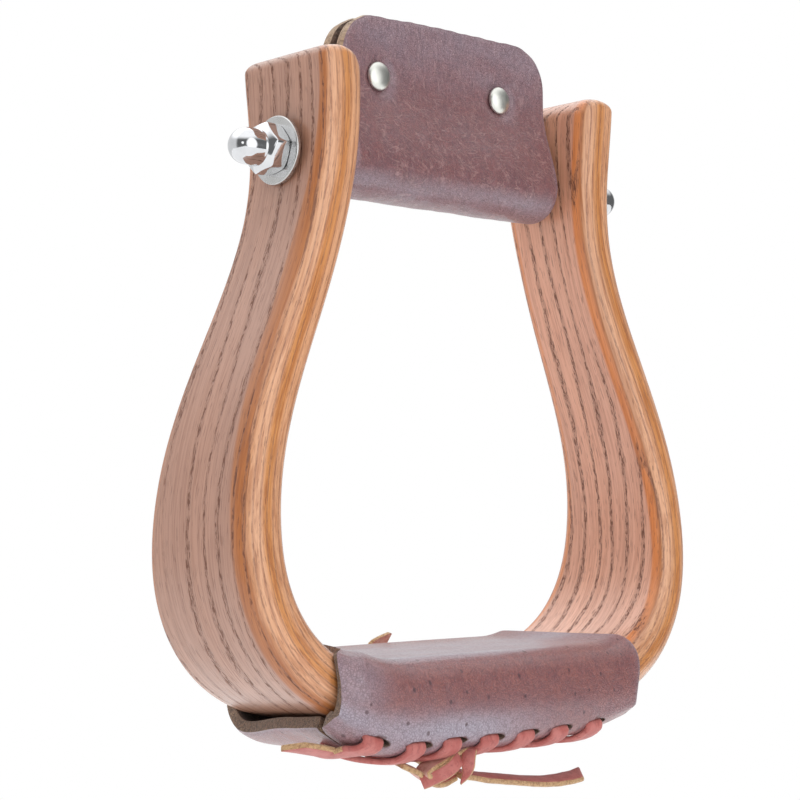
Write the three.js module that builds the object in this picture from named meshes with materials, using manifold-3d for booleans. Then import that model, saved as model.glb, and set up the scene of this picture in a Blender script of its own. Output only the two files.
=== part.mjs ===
// A western bell stirrup. One strip of wood is steam-bent into the bow. A leather cover is wrapped
// round its tread and laced underneath with a flat thong, whose two ends hang from a knot. A cross
// bolt joins the arms and carries a roller, and a riveted leather flap is folded round the roller.
// Sizes are in millimetres and Z is up. X runs along the bolt and Y through the stirrup's depth,
// and the origin is the middle of the bolt, where the rider's strap holds the stirrup up.
import * as THREE from "three";
import { mergeVertices } from "three/addons/utils/BufferGeometryUtils.js";
import Module from "manifold-3d";

const wasm = await Module();
wasm.setup();

// Driving dimensions

const GAP = 0.3; // left between pieces that touch

const BOW = {
  neckGap: 76.2, // clear width between the arms at the neck
  thickness: 12.7,
  neckHeight: 6.5, // height of the narrowest place over the bolt
  armEnd: 22.5, // height of the arm ends over the bolt
  armEndFlare: 0.95, // how far the arm ends lean out past the neck
  bellyHalfWidth: 71, // of the strip's middle line
  bellyDrop: 90.5, // of the widest place under the bolt
  treadDrop: 128.7, // of the tread's middle line under the bolt
  treadHalfFlat: 34,
  cornerReachIn: 13.5, // the four reaches are how far each bend pulls its curve
  cornerReachDown: 29.5,
  bellyReachUp: 35.5,
  neckReachDown: 39,
  depthAtEnd: 31.5,
  depthAtNeck: 26.8,
  depthAtTread: 48.7,
  neckFromEnd: 45, // along the strip, where it is least deep
  outerEdgeRadius: 2.8,
  innerEdgeRadius: 4.2,
  endOuterRadius: 3,
  endInnerRadius: 6,
  endFaceRadius: 2.4,
};

const BOLT = { radius: 3.175, intoNut: 8.2, chamfer: 0.7 };
const WASHER = { radius: 8.2, thickness: 1.3 };
const CAP_NUT = {
  flatWall: 2.375, // from the bolt's thread to each flat
  hexHeight: 5.2,
  chamfer: 0.9,
  domeWall: 1.125, // from the bolt's thread to the dome
  boltEndPlay: 1, // past the bolt's end, in the blind bore
  crown: 3.5, // from the bore's end to the top of the dome
  turn: -Math.PI / 9, // of its corners about the bolt
};
const ROLLER = { wall: 2.875, endPlay: 0.5 };

const FLAP = {
  sidePlay: 1.9, // from each arm at the neck
  leather: 3.2,
  closedHeight: 17, // where the two layers meet over the roller
  overRivets: 15.7, // from the rivets to the top edge
  cornerRadius: 11,
};

const RIVET = {
  overClosed: 4.5, // from where the flap's layers meet
  spacing: 42.5,
  shift: -2.45, // of the pair's middle along the bolt
  capRadius: 3.6,
  capHeight: 1.7,
  rimHeight: 0.4,
  tubeRadius: 1.9,
  tubeEnd: 1.2, // from the cap's tube to the flap's middle plane, past it
  pinRadius: 1,
};

const COVER = {
  leather: 3.2,
  leftLength: 57.5, // along the tread's middle line, from the middle to the cover's left end
  rightLength: 46,
  sag: 3.2, // the loose space under the wood
  lowerRadius: 5, // of the leather's middle, where its front turns under the wood
  backRadius: 8.2, // the same at the back, where it hangs in a slacker curve
  cornerRound: 6, // of the front margin's left corner
  seamSetBack: 1.5, // of the seam behind that turn
  seamGap: 0.6,
};

const BEND_STEPS = 5; // flat faces round each of the cover's bends

const LACE = {
  width: 5.5,
  thickness: 1.3,
  stitches: 7,
  leftMargin: 12.9, // from the cover's left end to the first slit's middle
  rightMargin: 14.1,
  slitReach: 6.6, // from the seam to each row of slits
  slitPlay: 0.65, // on either side of the thong in its slit
  cornerCut: 0.7, // off each turn of the thong into a slit
};

const KNOT = { along: -19.5, hang: 5.95, ringRadius: 2.3, ringTilt: 0.5 }; // hung under the cover

const KNOT_STITCHES = [1, 3]; // the stitches that the knot's two strands come from

// The thong's first end, under the cover's left: along the tread, from the seam and out of the leather
const FIRST_END = [
  [-49.6, 1.4, 0], [-51.4, -0.2, 0.1], [-53.1, -1.5, 0.2], [-54.7, -2.5, 0.4],
  [-56.2, -3.3, 0.7], [-57.6, -3.9, 1],
];

// The thong's two free ends, from the knot to the tip
const FRONT_TAIL = [
  [-16.2, -20.2, -146.9], [-13.4, -20.2, -147.4], [-10.5, -20.2, -148], [-7.4, -20.2, -148.7],
  [-4.2, -20.2, -149.2],
  [-1, -20.2, -149.7], [2.2, -20.2, -150.2], [5.4, -20.2, -150.7], [8.6, -20.2, -151.2],
  [11.8, -20.2, -151.6], [15, -20.2, -151.9], [18.2, -20.2, -152.1], [21.4, -20.2, -152.1],
  [24.6, -20.2, -152], [27.6, -20.2, -151.8], [30.4, -20.2, -151.5],
];
const BACK_TAIL = [
  [-18.2, -16, -145.2], [-17.6, -13.4, -144.8], [-16.4, -10.6, -144.5], [-15, -7.2, -144.3],
  [-13.5, -3.6, -144.1],
  [-12, 0, -144], [-10.5, 3.6, -143.9], [-9, 7.2, -143.8], [-7.5, 10.8, -143.7],
  [-6, 14.4, -143.6], [-4.6, 18, -143.4], [-3.2, 21.6, -142.9], [-2, 25.2, -141.8],
  [-0.9, 28.2, -139.2], [0, 29.9, -135.2], [0.9, 30.6, -131.2], [1.9, 30.5, -127.2],
  [3.2, 30, -123.2], [4.9, 29.4, -119.4], [7, 28.8, -115.9],
];

// Worked out from them

const halfThickness = BOW.thickness / 2;
const neckHalf = BOW.neckGap / 2;
const boltBore = BOLT.radius + GAP;
const rollerRadius = boltBore + ROLLER.wall;
const nutBore = BOLT.intoNut + CAP_NUT.boltEndPlay;
const flapHalf = neckHalf - FLAP.sidePlay;
const rivetHeight = FLAP.closedHeight + RIVET.overClosed;
const flapTop = rivetHeight + FLAP.overRivets;
const flapMiddle = rollerRadius + GAP + FLAP.leather / 2; // radius of the fold's middle surface
const layerMiddle = (FLAP.leather + GAP) / 2; // of each flap layer from the flap's middle plane
const coverSide = GAP + COVER.leather / 2; // from the wood's face to the leather's middle
const coverUnder = halfThickness + COVER.sag + COVER.leather / 2;
const coverOver = halfThickness + coverSide;
const coverUpperRadius = BOW.innerEdgeRadius + coverSide;
const laceOffset = COVER.leather / 2 + GAP + LACE.thickness / 2; // from the leather's middle
const firstSlit = LACE.leftMargin - COVER.leftLength; // along the tread
const lacePitch = (COVER.rightLength - LACE.rightMargin - firstSlit) / (LACE.stitches - 1);
const laceSlant = Math.atan(lacePitch / (2 * LACE.slitReach)); // of each run over the seam
const laceSpread = LACE.width / Math.cos(laceSlant); // its width along the seam

const wood = new THREE.MeshStandardMaterial({ color: 0xb9855f, roughness: 0.5, metalness: 0 });
const leather = new THREE.MeshStandardMaterial({ color: 0x6b4a49, roughness: 0.45, metalness: 0 });
const latigo = new THREE.MeshStandardMaterial({ color: 0xb35c56, roughness: 0.6, metalness: 0 });
const chrome = new THREE.MeshStandardMaterial({ color: 0xd6d8da, roughness: 0.12, metalness: 1 });
const steel = new THREE.MeshStandardMaterial({ color: 0x9a9c9e, roughness: 0.35, metalness: 1 });

// Solids

/** A closed three.js geometry as a solid that can be cut and joined. */
function solidOf(geometry) {
  const bare = geometry.clone();
  bare.deleteAttribute("normal");
  bare.deleteAttribute("uv");
  const merged = mergeVertices(bare, 1e-4);
  return new wasm.Manifold(
    new wasm.Mesh({
      numProp: 3,
      vertProperties: new Float32Array(merged.attributes.position.array),
      triVerts: new Uint32Array(merged.index.array),
    }),
  );
}

/** A named mesh of a solid. */
function meshOf(name, solid, material) {
  const { numProp, vertProperties, triVerts } = solid.getMesh();
  const geometry = new THREE.BufferGeometry();
  geometry.setAttribute("position", new THREE.BufferAttribute(vertProperties, numProp));
  geometry.setIndex(new THREE.BufferAttribute(triVerts, 1));
  geometry.computeVertexNormals();
  const mesh = new THREE.Mesh(geometry, material);
  mesh.name = name;
  return mesh;
}

/** The triangles that fill a flat outline, each turning anticlockwise. */
function fillOutline(outline) {
  return THREE.ShapeUtils.triangulateShape(outline, []).map((face) => {
    const area = THREE.ShapeUtils.area(face.map((corner) => outline[corner]));
    return area < 0 ? [face[0], face[2], face[1]] : face;
  });
}

/**
 * A solid skinned through rings of points that all run anticlockwise as seen from the far end.
 * The outline is the first ring laid flat, and says how the two ends are filled.
 */
function loft(rings, outline) {
  const count = outline.length;
  const index = [];
  for (let ring = 0; ring + 1 < rings.length; ring++) {
    for (let i = 0; i < count; i++) {
      const near = ring * count + i;
      const next = ring * count + ((i + 1) % count);
      index.push(near, next, next + count, near, next + count, near + count);
    }
  }
  const last = (rings.length - 1) * count;
  for (const [a, b, c] of fillOutline(outline)) {
    index.push(a, c, b, last + a, last + b, last + c);
  }
  const geometry = new THREE.BufferGeometry();
  const positions = rings.flat().flatMap((point) => point.toArray());
  geometry.setAttribute("position", new THREE.Float32BufferAttribute(positions, 3));
  geometry.setIndex(index);
  return solidOf(geometry);
}

/** Points on an arc about a centre, from one angle to another, both included. */
function arcPoints(x, y, radius, from, to, steps) {
  return Array.from({ length: steps + 1 }, (_, step) => {
    const angle = from + ((to - from) * step) / steps;
    return new THREE.Vector2(x + radius * Math.cos(angle), y + radius * Math.sin(angle));
  });
}

/** A rod along X between two places, centred on the line through y and z. */
function rodAlongX(radius, from, to, segments, y = 0, z = 0) {
  const rod = new THREE.CylinderGeometry(radius, radius, to - from, segments);
  return solidOf(rod.rotateZ(Math.PI / 2).translate((from + to) / 2, y, z));
}

// The bow's middle line: half of it from the tread's middle to the right arm's end

/** One cubic bend in the bow's own plane, mirrored to the left and turned round there. */
function bend(side, points) {
  const placed = points.map(([x, z]) => new THREE.Vector3(side * x, 0, z));
  return new THREE.CubicBezierCurve3(...(side > 0 ? placed : placed.reverse()));
}

function bowLine() {
  const neckX = neckHalf + halfThickness;
  const endX = neckX + BOW.armEndFlare;
  const rise = BOW.armEnd - BOW.neckHeight;
  const half = [
    [
      [BOW.treadHalfFlat, -BOW.treadDrop],
      [BOW.treadHalfFlat + BOW.cornerReachIn, -BOW.treadDrop],
      [BOW.bellyHalfWidth, -BOW.bellyDrop - BOW.cornerReachDown],
      [BOW.bellyHalfWidth, -BOW.bellyDrop],
    ],
    [
      [BOW.bellyHalfWidth, -BOW.bellyDrop],
      [BOW.bellyHalfWidth, -BOW.bellyDrop + BOW.bellyReachUp],
      [neckX, BOW.neckHeight - BOW.neckReachDown],
      [neckX, BOW.neckHeight],
    ],
    [
      [neckX, BOW.neckHeight],
      [neckX, BOW.neckHeight + 0.4 * rise],
      [neckX + BOW.armEndFlare / 3, BOW.armEnd - rise / 3],
      [endX, BOW.armEnd],
    ],
  ];
  const line = new THREE.CurvePath();
  for (const points of [...half].reverse()) line.add(bend(-1, points));
  const treadEnd = new THREE.Vector3(BOW.treadHalfFlat, 0, -BOW.treadDrop);
  line.add(new THREE.LineCurve3(treadEnd.clone().setX(-BOW.treadHalfFlat), treadEnd));
  for (const points of half) line.add(bend(1, points));
  return line;
}

const middleLine = bowLine();
const halfLength = middleLine.getLength() / 2;

/** The point, direction and outward normal of the middle line, at a distance from its middle. */
function onMiddleLine(along) {
  const share = THREE.MathUtils.clamp(0.5 + along / (2 * halfLength), 0, 1);
  const point = middleLine.getPoint(share);
  const step = 1e-4;
  const before = middleLine.getPoint(Math.max(share - step, 0));
  const direction = middleLine.getPoint(Math.min(share + step, 1)).sub(before).normalize();
  return { point, direction, outward: new THREE.Vector3(direction.z, 0, -direction.x) };
}

/** The place at a distance along the strip, a depth across it and a height out of its middle. */
function onStrip(along, depth, out) {
  const { point, outward } = onMiddleLine(along);
  return point.addScaledVector(outward, out).setY(depth);
}

/** The strip's depth, which swells from the neck to the tread and a little to the arm ends. */
function stripDepth(along) {
  const fromEnd = halfLength - Math.abs(along);
  const { smoothstep, lerp } = THREE.MathUtils;
  if (fromEnd < BOW.neckFromEnd) {
    return lerp(BOW.depthAtEnd, BOW.depthAtNeck, smoothstep(fromEnd, 0, BOW.neckFromEnd));
  }
  return lerp(BOW.depthAtNeck, BOW.depthAtTread, smoothstep(fromEnd, BOW.neckFromEnd, halfLength));
}

// The wooden bow

/** How far an edge of this radius draws back, at a distance from the end face. */
function drawBack(radius, fromEnd) {
  const inside = Math.max(radius - fromEnd, 0);
  return radius - Math.sqrt(radius * radius - inside * inside);
}

/** The strip's section, outward in x and depth in y, with rounded edges. */
function stripSection(along) {
  const fromEnd = halfLength - Math.abs(along);
  const outer = halfThickness - drawBack(BOW.endOuterRadius, fromEnd);
  const inner = halfThickness - drawBack(BOW.endInnerRadius, fromEnd);
  const half = stripDepth(along) / 2 - drawBack(BOW.endFaceRadius, fromEnd);
  const outerRadius = Math.min(BOW.outerEdgeRadius, 0.45 * (outer + inner));
  const innerRadius = Math.min(BOW.innerEdgeRadius, 0.45 * (outer + inner));
  const quarter = Math.PI / 2;
  const corner = (x, y, radius, from) => arcPoints(x, y, radius, from, from + quarter, 3);
  return [
    ...corner(outer - outerRadius, outerRadius - half, outerRadius, -quarter),
    ...corner(outer - outerRadius, half - outerRadius, outerRadius, 0),
    ...corner(innerRadius - inner, half - innerRadius, innerRadius, quarter),
    ...corner(innerRadius - inner, innerRadius - half, innerRadius, 2 * quarter),
  ];
}

/** Stations along the strip, close together over the rounded arm ends. */
function stripStations() {
  const ends = [0, 0.25, 0.9, 1.8, 2.9, 4.2, 6];
  const clear = 5;
  const reach = halfLength - ends.at(-1);
  const steps = Math.round((2 * reach) / clear);
  const between = Array.from({ length: steps - 1 }, (_, i) => -reach + (2 * reach * (i + 1)) / steps);
  const right = ends.map((end) => halfLength - end).reverse();
  return [...ends.map((end) => end - halfLength), ...between, ...right];
}

function makeBow() {
  const sections = stripStations().map((along) => ({ along, section: stripSection(along) }));
  const rings = sections.map(({ along, section }) =>
    section.map(({ x, y }) => onStrip(along, y, x)),
  );
  const reach = BOW.bellyHalfWidth;
  const bore = rodAlongX(boltBore, -reach, reach, 32);
  return loft(rings, sections[0].section).subtract(bore);
}

// The leather cover on the tread

/** How far the leather's middle lies in front of and behind the bow's middle plane. */
const coverHalf = (along) => stripDepth(along) / 2 + coverSide;

/** Depth of the seam between the leather's front and back margins. */
const seamDepth = (along) => COVER.lowerRadius + COVER.seamSetBack - coverHalf(along);

/** A line beside the leather's middle, in section: from the seam up the front, over and back under. */
function coverSection(along, offset) {
  const half = coverHalf(along);
  const low = COVER.lowerRadius;
  const back = COVER.backRadius;
  const high = coverUpperRadius;
  const seam = seamDepth(along);
  const corner = (x, y, radius, from) =>
    arcPoints(x, y, radius + offset, from, from - Math.PI / 2, BEND_STEPS);
  return [
    new THREE.Vector2(coverUnder + offset, seam - COVER.seamGap / 2),
    ...corner(coverUnder - low, low - half, low, 0),
    ...corner(high - coverOver, high - half, high, -Math.PI / 2),
    ...corner(high - coverOver, half - high, high, -Math.PI),
    ...corner(coverUnder - back, half - back, back, Math.PI / 2),
    new THREE.Vector2(coverUnder + offset, seam + COVER.seamGap / 2),
  ];
}

/** The cover's closed section, anticlockwise. */
function coverOutline(along) {
  const thick = COVER.leather / 2;
  return [...coverSection(along, -thick), ...coverSection(along, thick).reverse()];
}

/** A frame on the cover's leather, at a reach from the seam: forward is positive. */
function onCover(along, reach, offset) {
  const { direction, outward } = onMiddleLine(along);
  const { lowerRadius, seamSetBack } = COVER;
  const angle = Math.max(reach - seamSetBack, 0) / lowerRadius;
  const radius = lowerRadius + offset;
  const depth = seamDepth(along) - Math.min(reach, seamSetBack) - radius * Math.sin(angle);
  const out = coverUnder - lowerRadius + radius * Math.cos(angle);
  const normal = outward.clone().multiplyScalar(Math.cos(angle)).setY(-Math.sin(angle));
  return { place: onStrip(along, depth, out), normal, direction };
}

/** A slit through the cover's leather for the thong. */
function slitCutter(along, reach) {
  const { place, normal, direction } = onCover(along, reach, 0);
  const length = laceSpread + 2 * GAP;
  const across = new THREE.Vector3().crossVectors(normal, direction);
  const turn = new THREE.Matrix4().makeBasis(direction, across, normal).setPosition(place);
  const width = LACE.thickness + 2 * LACE.slitPlay;
  const box = new THREE.BoxGeometry(length, width, 2 * COVER.leather);
  return solidOf(box.applyMatrix4(turn));
}

/** Where stitch number k goes through the front slits. */
const slitAlong = (stitch) => firstSlit + lacePitch * stitch;

/** Where the cover's left end is on each line of its outline: its front margin's corner is rounded. */
function coverLeftEnds() {
  const outline = coverOutline(-COVER.leftLength);
  const step = (COVER.lowerRadius * Math.PI) / 2 / BEND_STEPS;
  return outline.map((_, i) => {
    const line = Math.min(i, outline.length - 1 - i);
    const reach = line === 0 ? 0 : COVER.seamSetBack + (line - 1) * step;
    return drawBack(COVER.cornerRound, reach) - COVER.leftLength;
  });
}

function makeCover() {
  const steps = 22;
  const leftEnds = coverLeftEnds();
  const rings = Array.from({ length: steps + 1 }, (_, step) =>
    leftEnds.map((leftEnd, i) => {
      const along = THREE.MathUtils.lerp(leftEnd, COVER.rightLength, step / steps);
      const { x, y } = coverOutline(along)[i];
      return onStrip(along, y, x);
    }),
  );
  let cover = loft(rings, coverOutline(-COVER.leftLength));
  for (let stitch = 0; stitch < LACE.stitches; stitch++) {
    cover = cover.subtract(slitCutter(slitAlong(stitch), LACE.slitReach));
    if (stitch + 1 < LACE.stitches) {
      cover = cover.subtract(slitCutter(slitAlong(stitch), -LACE.slitReach));
    }
  }
  return cover;
}

// The thong

/** A thong's flat section, with its four long edges skived. */
function bandOutline(width) {
  const half = width / 2;
  const thick = LACE.thickness / 2;
  const skive = 0.3 * LACE.thickness;
  return [
    [half, skive - thick], [half, thick - skive], [half - skive, thick], [skive - half, thick],
    [-half, thick - skive], [-half, skive - thick], [skive - half, -thick], [half - skive, -thick],
  ].map(([x, y]) => new THREE.Vector2(x, y));
}

/**
 * A flat band through points. Its width runs the way that is given for each point and direction,
 * and is the thong's own unless widths are given.
 */
function sweepBand(points, widthWay, widths = []) {
  const rings = points.map((point, i) => {
    const before = points[Math.max(i - 1, 0)];
    const after = points[Math.min(i + 1, points.length - 1)];
    const forward = after.clone().sub(before).normalize();
    const side = widthWay(i, forward).normalize();
    const face = new THREE.Vector3().crossVectors(forward, side).normalize();
    return bandOutline(widths[i] ?? LACE.width).map(({ x, y }) =>
      point.clone().addScaledVector(side, x).addScaledVector(face, y),
    );
  });
  return loft(rings, bandOutline(LACE.width));
}

/** One turn of the whip stitch in section: reaches from the seam and heights over the leather. */
function stitchTurn() {
  const { slitReach, cornerCut } = LACE;
  const straight = slitReach - cornerCut;
  const outside = [
    [slitReach, 0],
    [slitReach, laceOffset - cornerCut],
    ...[1, 0.75, 0.5, 0.25, -0.3, -1].map((share) => [share * straight, laceOffset]),
    [-slitReach, laceOffset - cornerCut],
  ];
  const inside = outside.slice(1).reverse().map(([reach, height]) => [reach, -height]);
  return [...outside, [-slitReach, 0], ...inside];
}

/**
 * The whip stitch over the seam, from its last front slit to the left. Each turn leans over by a
 * pitch outside the leather and goes straight across inside it.
 */
function makeStitches() {
  const turn = stitchTurn();
  const half = turn.length / 2;
  const intoFirstEnd = 5; // points of the first stitch, up to where the thong's first end takes over
  const points = [];
  const ways = [];
  const widths = [];
  for (let step = 0; step <= turn.length * (LACE.stitches - 1) + intoFirstEnd; step++) {
    const [reach, height] = turn[step % turn.length];
    const outside = step % turn.length < half;
    const share = outside ? (LACE.slitReach - reach) / (2 * LACE.slitReach) : 1;
    const along = slitAlong(LACE.stitches - 1 - Math.floor(step / turn.length) - share);
    const { place, direction } = onCover(along, reach, height);
    points.push(place);
    ways.push(direction);
    widths.push(outside ? laceSpread : LACE.width);
  }
  return sweepBand(points, (i) => ways[i], widths);
}

/** The thong's first end, flat under the cover's left from the first stitch to its tip. */
function makeFirstEnd() {
  const frames = FIRST_END.map(([along, reach, out]) => onCover(along, reach, laceOffset + out));
  const points = frames.map((frame) => frame.place);
  return sweepBand(points, (i, forward) => frames[i].normal.clone().cross(forward));
}

/** The level direction across a strand. */
const level = (forward) => new THREE.Vector3(0, 0, 1).cross(forward);

/** The knot's middle. */
const knotPlace = () => onCover(KNOT.along, 0, COVER.leather / 2 + KNOT.hang).place;

/** One strand of the thong, from under a stitch down to the knot. */
function makeStrand(stitch) {
  const knot = knotPlace();
  const start = onCover(slitAlong(stitch - 0.5), 0, laceOffset).place;
  const halfway = start.clone().lerp(knot, 0.5).setZ(start.z - 1.2);
  const curve = new THREE.CatmullRomCurve3([start, halfway, knot]);
  return sweepBand(curve.getSpacedPoints(8), (_, forward) => level(forward));
}

/** The knot: a turn of the thong drawn tight round its own two strands. */
function makeKnot() {
  const { ringRadius, ringTilt } = KNOT;
  const { x, y, z } = knotPlace();
  const inside = ringRadius - LACE.thickness / 2;
  const outside = ringRadius + LACE.thickness / 2;
  const half = LACE.width / 2;
  const profile = [[inside, -half], [outside, -half], [outside, half], [inside, half], [inside, -half]];
  const band = turned(profile, 20);
  const core = new THREE.SphereGeometry(ringRadius, 16, 10);
  return solidOf(band.rotateX(ringTilt).translate(x, y, z)).add(solidOf(core.translate(x, y, z)));
}

function makeLace() {
  const [left, right] = KNOT_STITCHES.map(makeStrand);
  return makeStitches().add(makeFirstEnd()).add(left).add(right).add(makeKnot());
}

/** Across the back tail: level at right angles to its run, whichever way that leads. */
function acrossBackTail(forward) {
  return new THREE.Vector3(1, 0, 0).addScaledVector(forward, -forward.x);
}

/** A free end of the thong along its route. */
function makeTail(route, widthWay) {
  return sweepBand(route.map((place) => new THREE.Vector3(...place)), widthWay);
}

// The flap, folded round the roller

/** Depth of a flap layer's middle at a height over the bolt. */
function layerDepth(height) {
  const closing = THREE.MathUtils.smoothstep(height, 0, FLAP.closedHeight);
  return THREE.MathUtils.lerp(flapMiddle, layerMiddle, closing);
}

/** One side of the flap's leather in section: up the back, or down the front, at an offset. */
function flapSide(side, offset) {
  const shares = [0.15, 0.3, 0.45, 0.6, 0.75, 0.88, 1];
  const heights = [...shares.map((share) => share * FLAP.closedHeight), flapTop];
  const step = 0.01;
  return heights.map((height) => {
    const slope = (layerDepth(height + step) - layerDepth(height - step)) / (2 * step);
    const along = new THREE.Vector2(slope, 1).normalize();
    const lift = height === flapTop ? 0 : -along.x * offset;
    return new THREE.Vector2(side * (layerDepth(height) + along.y * offset), height + lift);
  });
}

/** The flap's folded section in depth and height, as one outline. */
function flapOutline() {
  const outline = (offset) => [
    ...flapSide(-1, offset).reverse(),
    ...arcPoints(0, 0, flapMiddle + offset, Math.PI, 2 * Math.PI, 16),
    ...flapSide(1, offset),
  ];
  const half = FLAP.leather / 2;
  return [...outline(half), ...outline(-half).reverse()];
}

function makeFlap() {
  const outline = flapOutline();
  const rings = [-flapHalf, flapHalf].map((x) => outline.map(({ x: y, y: z }) => new THREE.Vector3(x, y, z)));
  const folded = loft(rings, outline);
  return rivetPlaces().reduce(
    (flap, x) => flap.subtract(rivetHole(x)),
    folded.intersect(flapFace()),
  );
}

/** A slab with the flap's front shape: square at the fold and rounded at the two top corners. */
function flapFace() {
  const low = -2 * flapMiddle;
  const { cornerRadius } = FLAP;
  const inner = flapHalf - cornerRadius;
  const shape = new THREE.Shape([
    new THREE.Vector2(-flapHalf, low),
    new THREE.Vector2(flapHalf, low),
    ...arcPoints(inner, flapTop - cornerRadius, cornerRadius, 0, Math.PI / 2, 8),
    ...arcPoints(-inner, flapTop - cornerRadius, cornerRadius, Math.PI / 2, Math.PI, 8),
  ]);
  const depth = 4 * flapMiddle;
  const slab = new THREE.ExtrudeGeometry(shape, { depth, bevelEnabled: false });
  return solidOf(slab.rotateX(Math.PI / 2).translate(0, depth / 2, 0));
}

/** Where the two rivets stand along the bolt. */
function rivetPlaces() {
  return [RIVET.shift - RIVET.spacing / 2, RIVET.shift + RIVET.spacing / 2];
}

function rivetHole(x) {
  const radius = RIVET.tubeRadius + GAP;
  const hole = new THREE.CylinderGeometry(radius, radius, 6 * FLAP.leather, 16);
  return solidOf(hole.translate(x, 0, rivetHeight));
}

// Turned pieces

/** A profile of radii and heights revolved about Y. */
function turned(profile, segments) {
  const points = profile.map(([radius, height]) => new THREE.Vector2(radius, height));
  return new THREE.LatheGeometry(points, segments);
}

/** A rivet's domed head in profile, from its rim to the middle. */
function headProfile(seat) {
  const { capRadius, capHeight, rimHeight } = RIVET;
  return arcPoints(0, 0, 1, 0, Math.PI / 2, 5).map(({ x, y }) => [
    Math.max(x * capRadius, 0),
    seat + rimHeight + y * (capHeight - rimHeight),
  ]);
}

/** The front cap of a rivet: a domed head on a tube that goes through the leather. */
function makeRivetCap(x) {
  const { capRadius, tubeRadius, tubeEnd, pinRadius } = RIVET;
  const seat = layerMiddle + FLAP.leather / 2 + GAP;
  const bore = pinRadius + GAP;
  const profile = [
    [0, seat], [bore, seat], [bore, -tubeEnd], [tubeRadius, -tubeEnd], [tubeRadius, seat],
    [capRadius, seat], ...headProfile(seat).slice(0, -1), [0, seat + RIVET.capHeight],
  ];
  return solidOf(turned(profile, 24).rotateX(Math.PI).translate(x, 0, rivetHeight));
}

/** The back of a rivet: a domed head on the pin that is set in the tube. */
function makeRivetPost(x) {
  const { capRadius, pinRadius } = RIVET;
  const seat = layerMiddle + FLAP.leather / 2 + GAP;
  const pinEnd = GAP - seat;
  const profile = [
    [0, pinEnd], [pinRadius, pinEnd], [pinRadius, seat], [capRadius, seat],
    ...headProfile(seat).slice(0, -1), [0, seat + RIVET.capHeight],
  ];
  return solidOf(turned(profile, 24).translate(x, 0, rivetHeight));
}

/** Where a washer seats: past the outer face of the arm, over the whole of the washer. */
function washerSeat() {
  let seat = 0;
  for (let along = halfLength / 2; along < halfLength; along += 0.5) {
    const { x, z } = onStrip(along, 0, halfThickness);
    if (Math.abs(z) <= WASHER.radius) seat = Math.max(seat, x);
  }
  return seat + GAP;
}

const nutSeat = washerSeat() + WASHER.thickness + GAP;

/** A pipe along X about the bolt. */
function pipeAlongX(radius, from, to, segments) {
  return rodAlongX(radius, from, to, segments).subtract(rodAlongX(boltBore, from - 1, to + 1, 32));
}

/** A cap nut seated at the origin: a chamfered hexagon under a tall dome, bored from its face. */
function makeCapNut() {
  const { flatWall, hexHeight, chamfer, domeWall, crown, turn } = CAP_NUT;
  const corner = (BOLT.radius + flatWall) / Math.cos(Math.PI / 6);
  const domeRadius = BOLT.radius + domeWall;
  const height = nutBore + crown;
  const hexagon = new THREE.CylinderGeometry(corner, corner, hexHeight, 6, 1, false, turn);
  hexagon.translate(0, hexHeight / 2, 0);
  const cone = turned([
    [0, 0], [corner - chamfer / 2, 0], [corner, chamfer / 2], [corner, hexHeight - chamfer],
    [corner - 2 * chamfer, hexHeight], [0, hexHeight],
  ], 36);
  const crownArc = arcPoints(0, height - domeRadius, domeRadius, 0, Math.PI / 2, 7).slice(0, -1);
  const dome = turned([
    [0, hexHeight / 2], [domeRadius, hexHeight / 2], ...crownArc.map(({ x, y }) => [x, y]), [0, height],
  ], 30);
  const bore = turned([[0, -1], [boltBore, -1], [boltBore, nutBore], [0, nutBore]], 32);
  return solidOf(hexagon).intersect(solidOf(cone)).add(solidOf(dome)).subtract(solidOf(bore));
}

/** Turns a solid made about Y so that it stands out of the left or right arm. */
function onArm(solid, side) {
  const turn = new THREE.Matrix4().makeRotationZ((-side * Math.PI) / 2).setPosition(side * nutSeat, 0, 0);
  return solid.transform(turn.toArray());
}

/** The cross bolt, threaded into both cap nuts, with chamfered ends. */
function makeBolt() {
  const { radius, intoNut, chamfer } = BOLT;
  const end = nutSeat + intoNut;
  const profile = [
    [0, -end], [radius - chamfer, -end], [radius, chamfer - end],
    [radius, end - chamfer], [radius - chamfer, end], [0, end],
  ];
  return solidOf(turned(profile, 32).rotateZ(-Math.PI / 2));
}

/** The roller that the strap's pull turns on the bolt, between the arms. */
function makeRoller() {
  const end = neckHalf - ROLLER.endPlay;
  return pipeAlongX(rollerRadius, -end, end, 40);
}

// The assembly

const stirrup = new THREE.Group();
const pieces = [
  ["bow", makeBow(), wood],
  ["tread_cover", makeCover(), leather],
  ["tread_lace", makeLace(), latigo],
  ["lace_tail_front", makeTail(FRONT_TAIL, () => new THREE.Vector3(0, 1, 0.25)), latigo],
  ["lace_tail_back", makeTail(BACK_TAIL, (_, forward) => acrossBackTail(forward)), latigo],
  ["cross_bolt", makeBolt(), steel],
  ["bolt_roller", makeRoller(), steel],
  ["bolt_flap", makeFlap(), leather],
];
for (const [side, name] of [[-1, "left"], [1, "right"]]) {
  const middle = side * (washerSeat() + WASHER.thickness / 2);
  const [from, to] = [middle - WASHER.thickness / 2, middle + WASHER.thickness / 2];
  pieces.push([`washer_${name}`, pipeAlongX(WASHER.radius, from, to, 40), chrome]);
  pieces.push([`cap_nut_${name}`, onArm(makeCapNut(), side), chrome]);
}
rivetPlaces().forEach((x, i) => {
  const name = ["left", "right"][i];
  pieces.push([`rivet_${name}_cap`, makeRivetCap(x), chrome]);
  pieces.push([`rivet_${name}_post`, makeRivetPost(x), chrome]);
});
for (const [name, solid, material] of pieces) stirrup.add(meshOf(name, solid, material));

export default stirrup;
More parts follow.
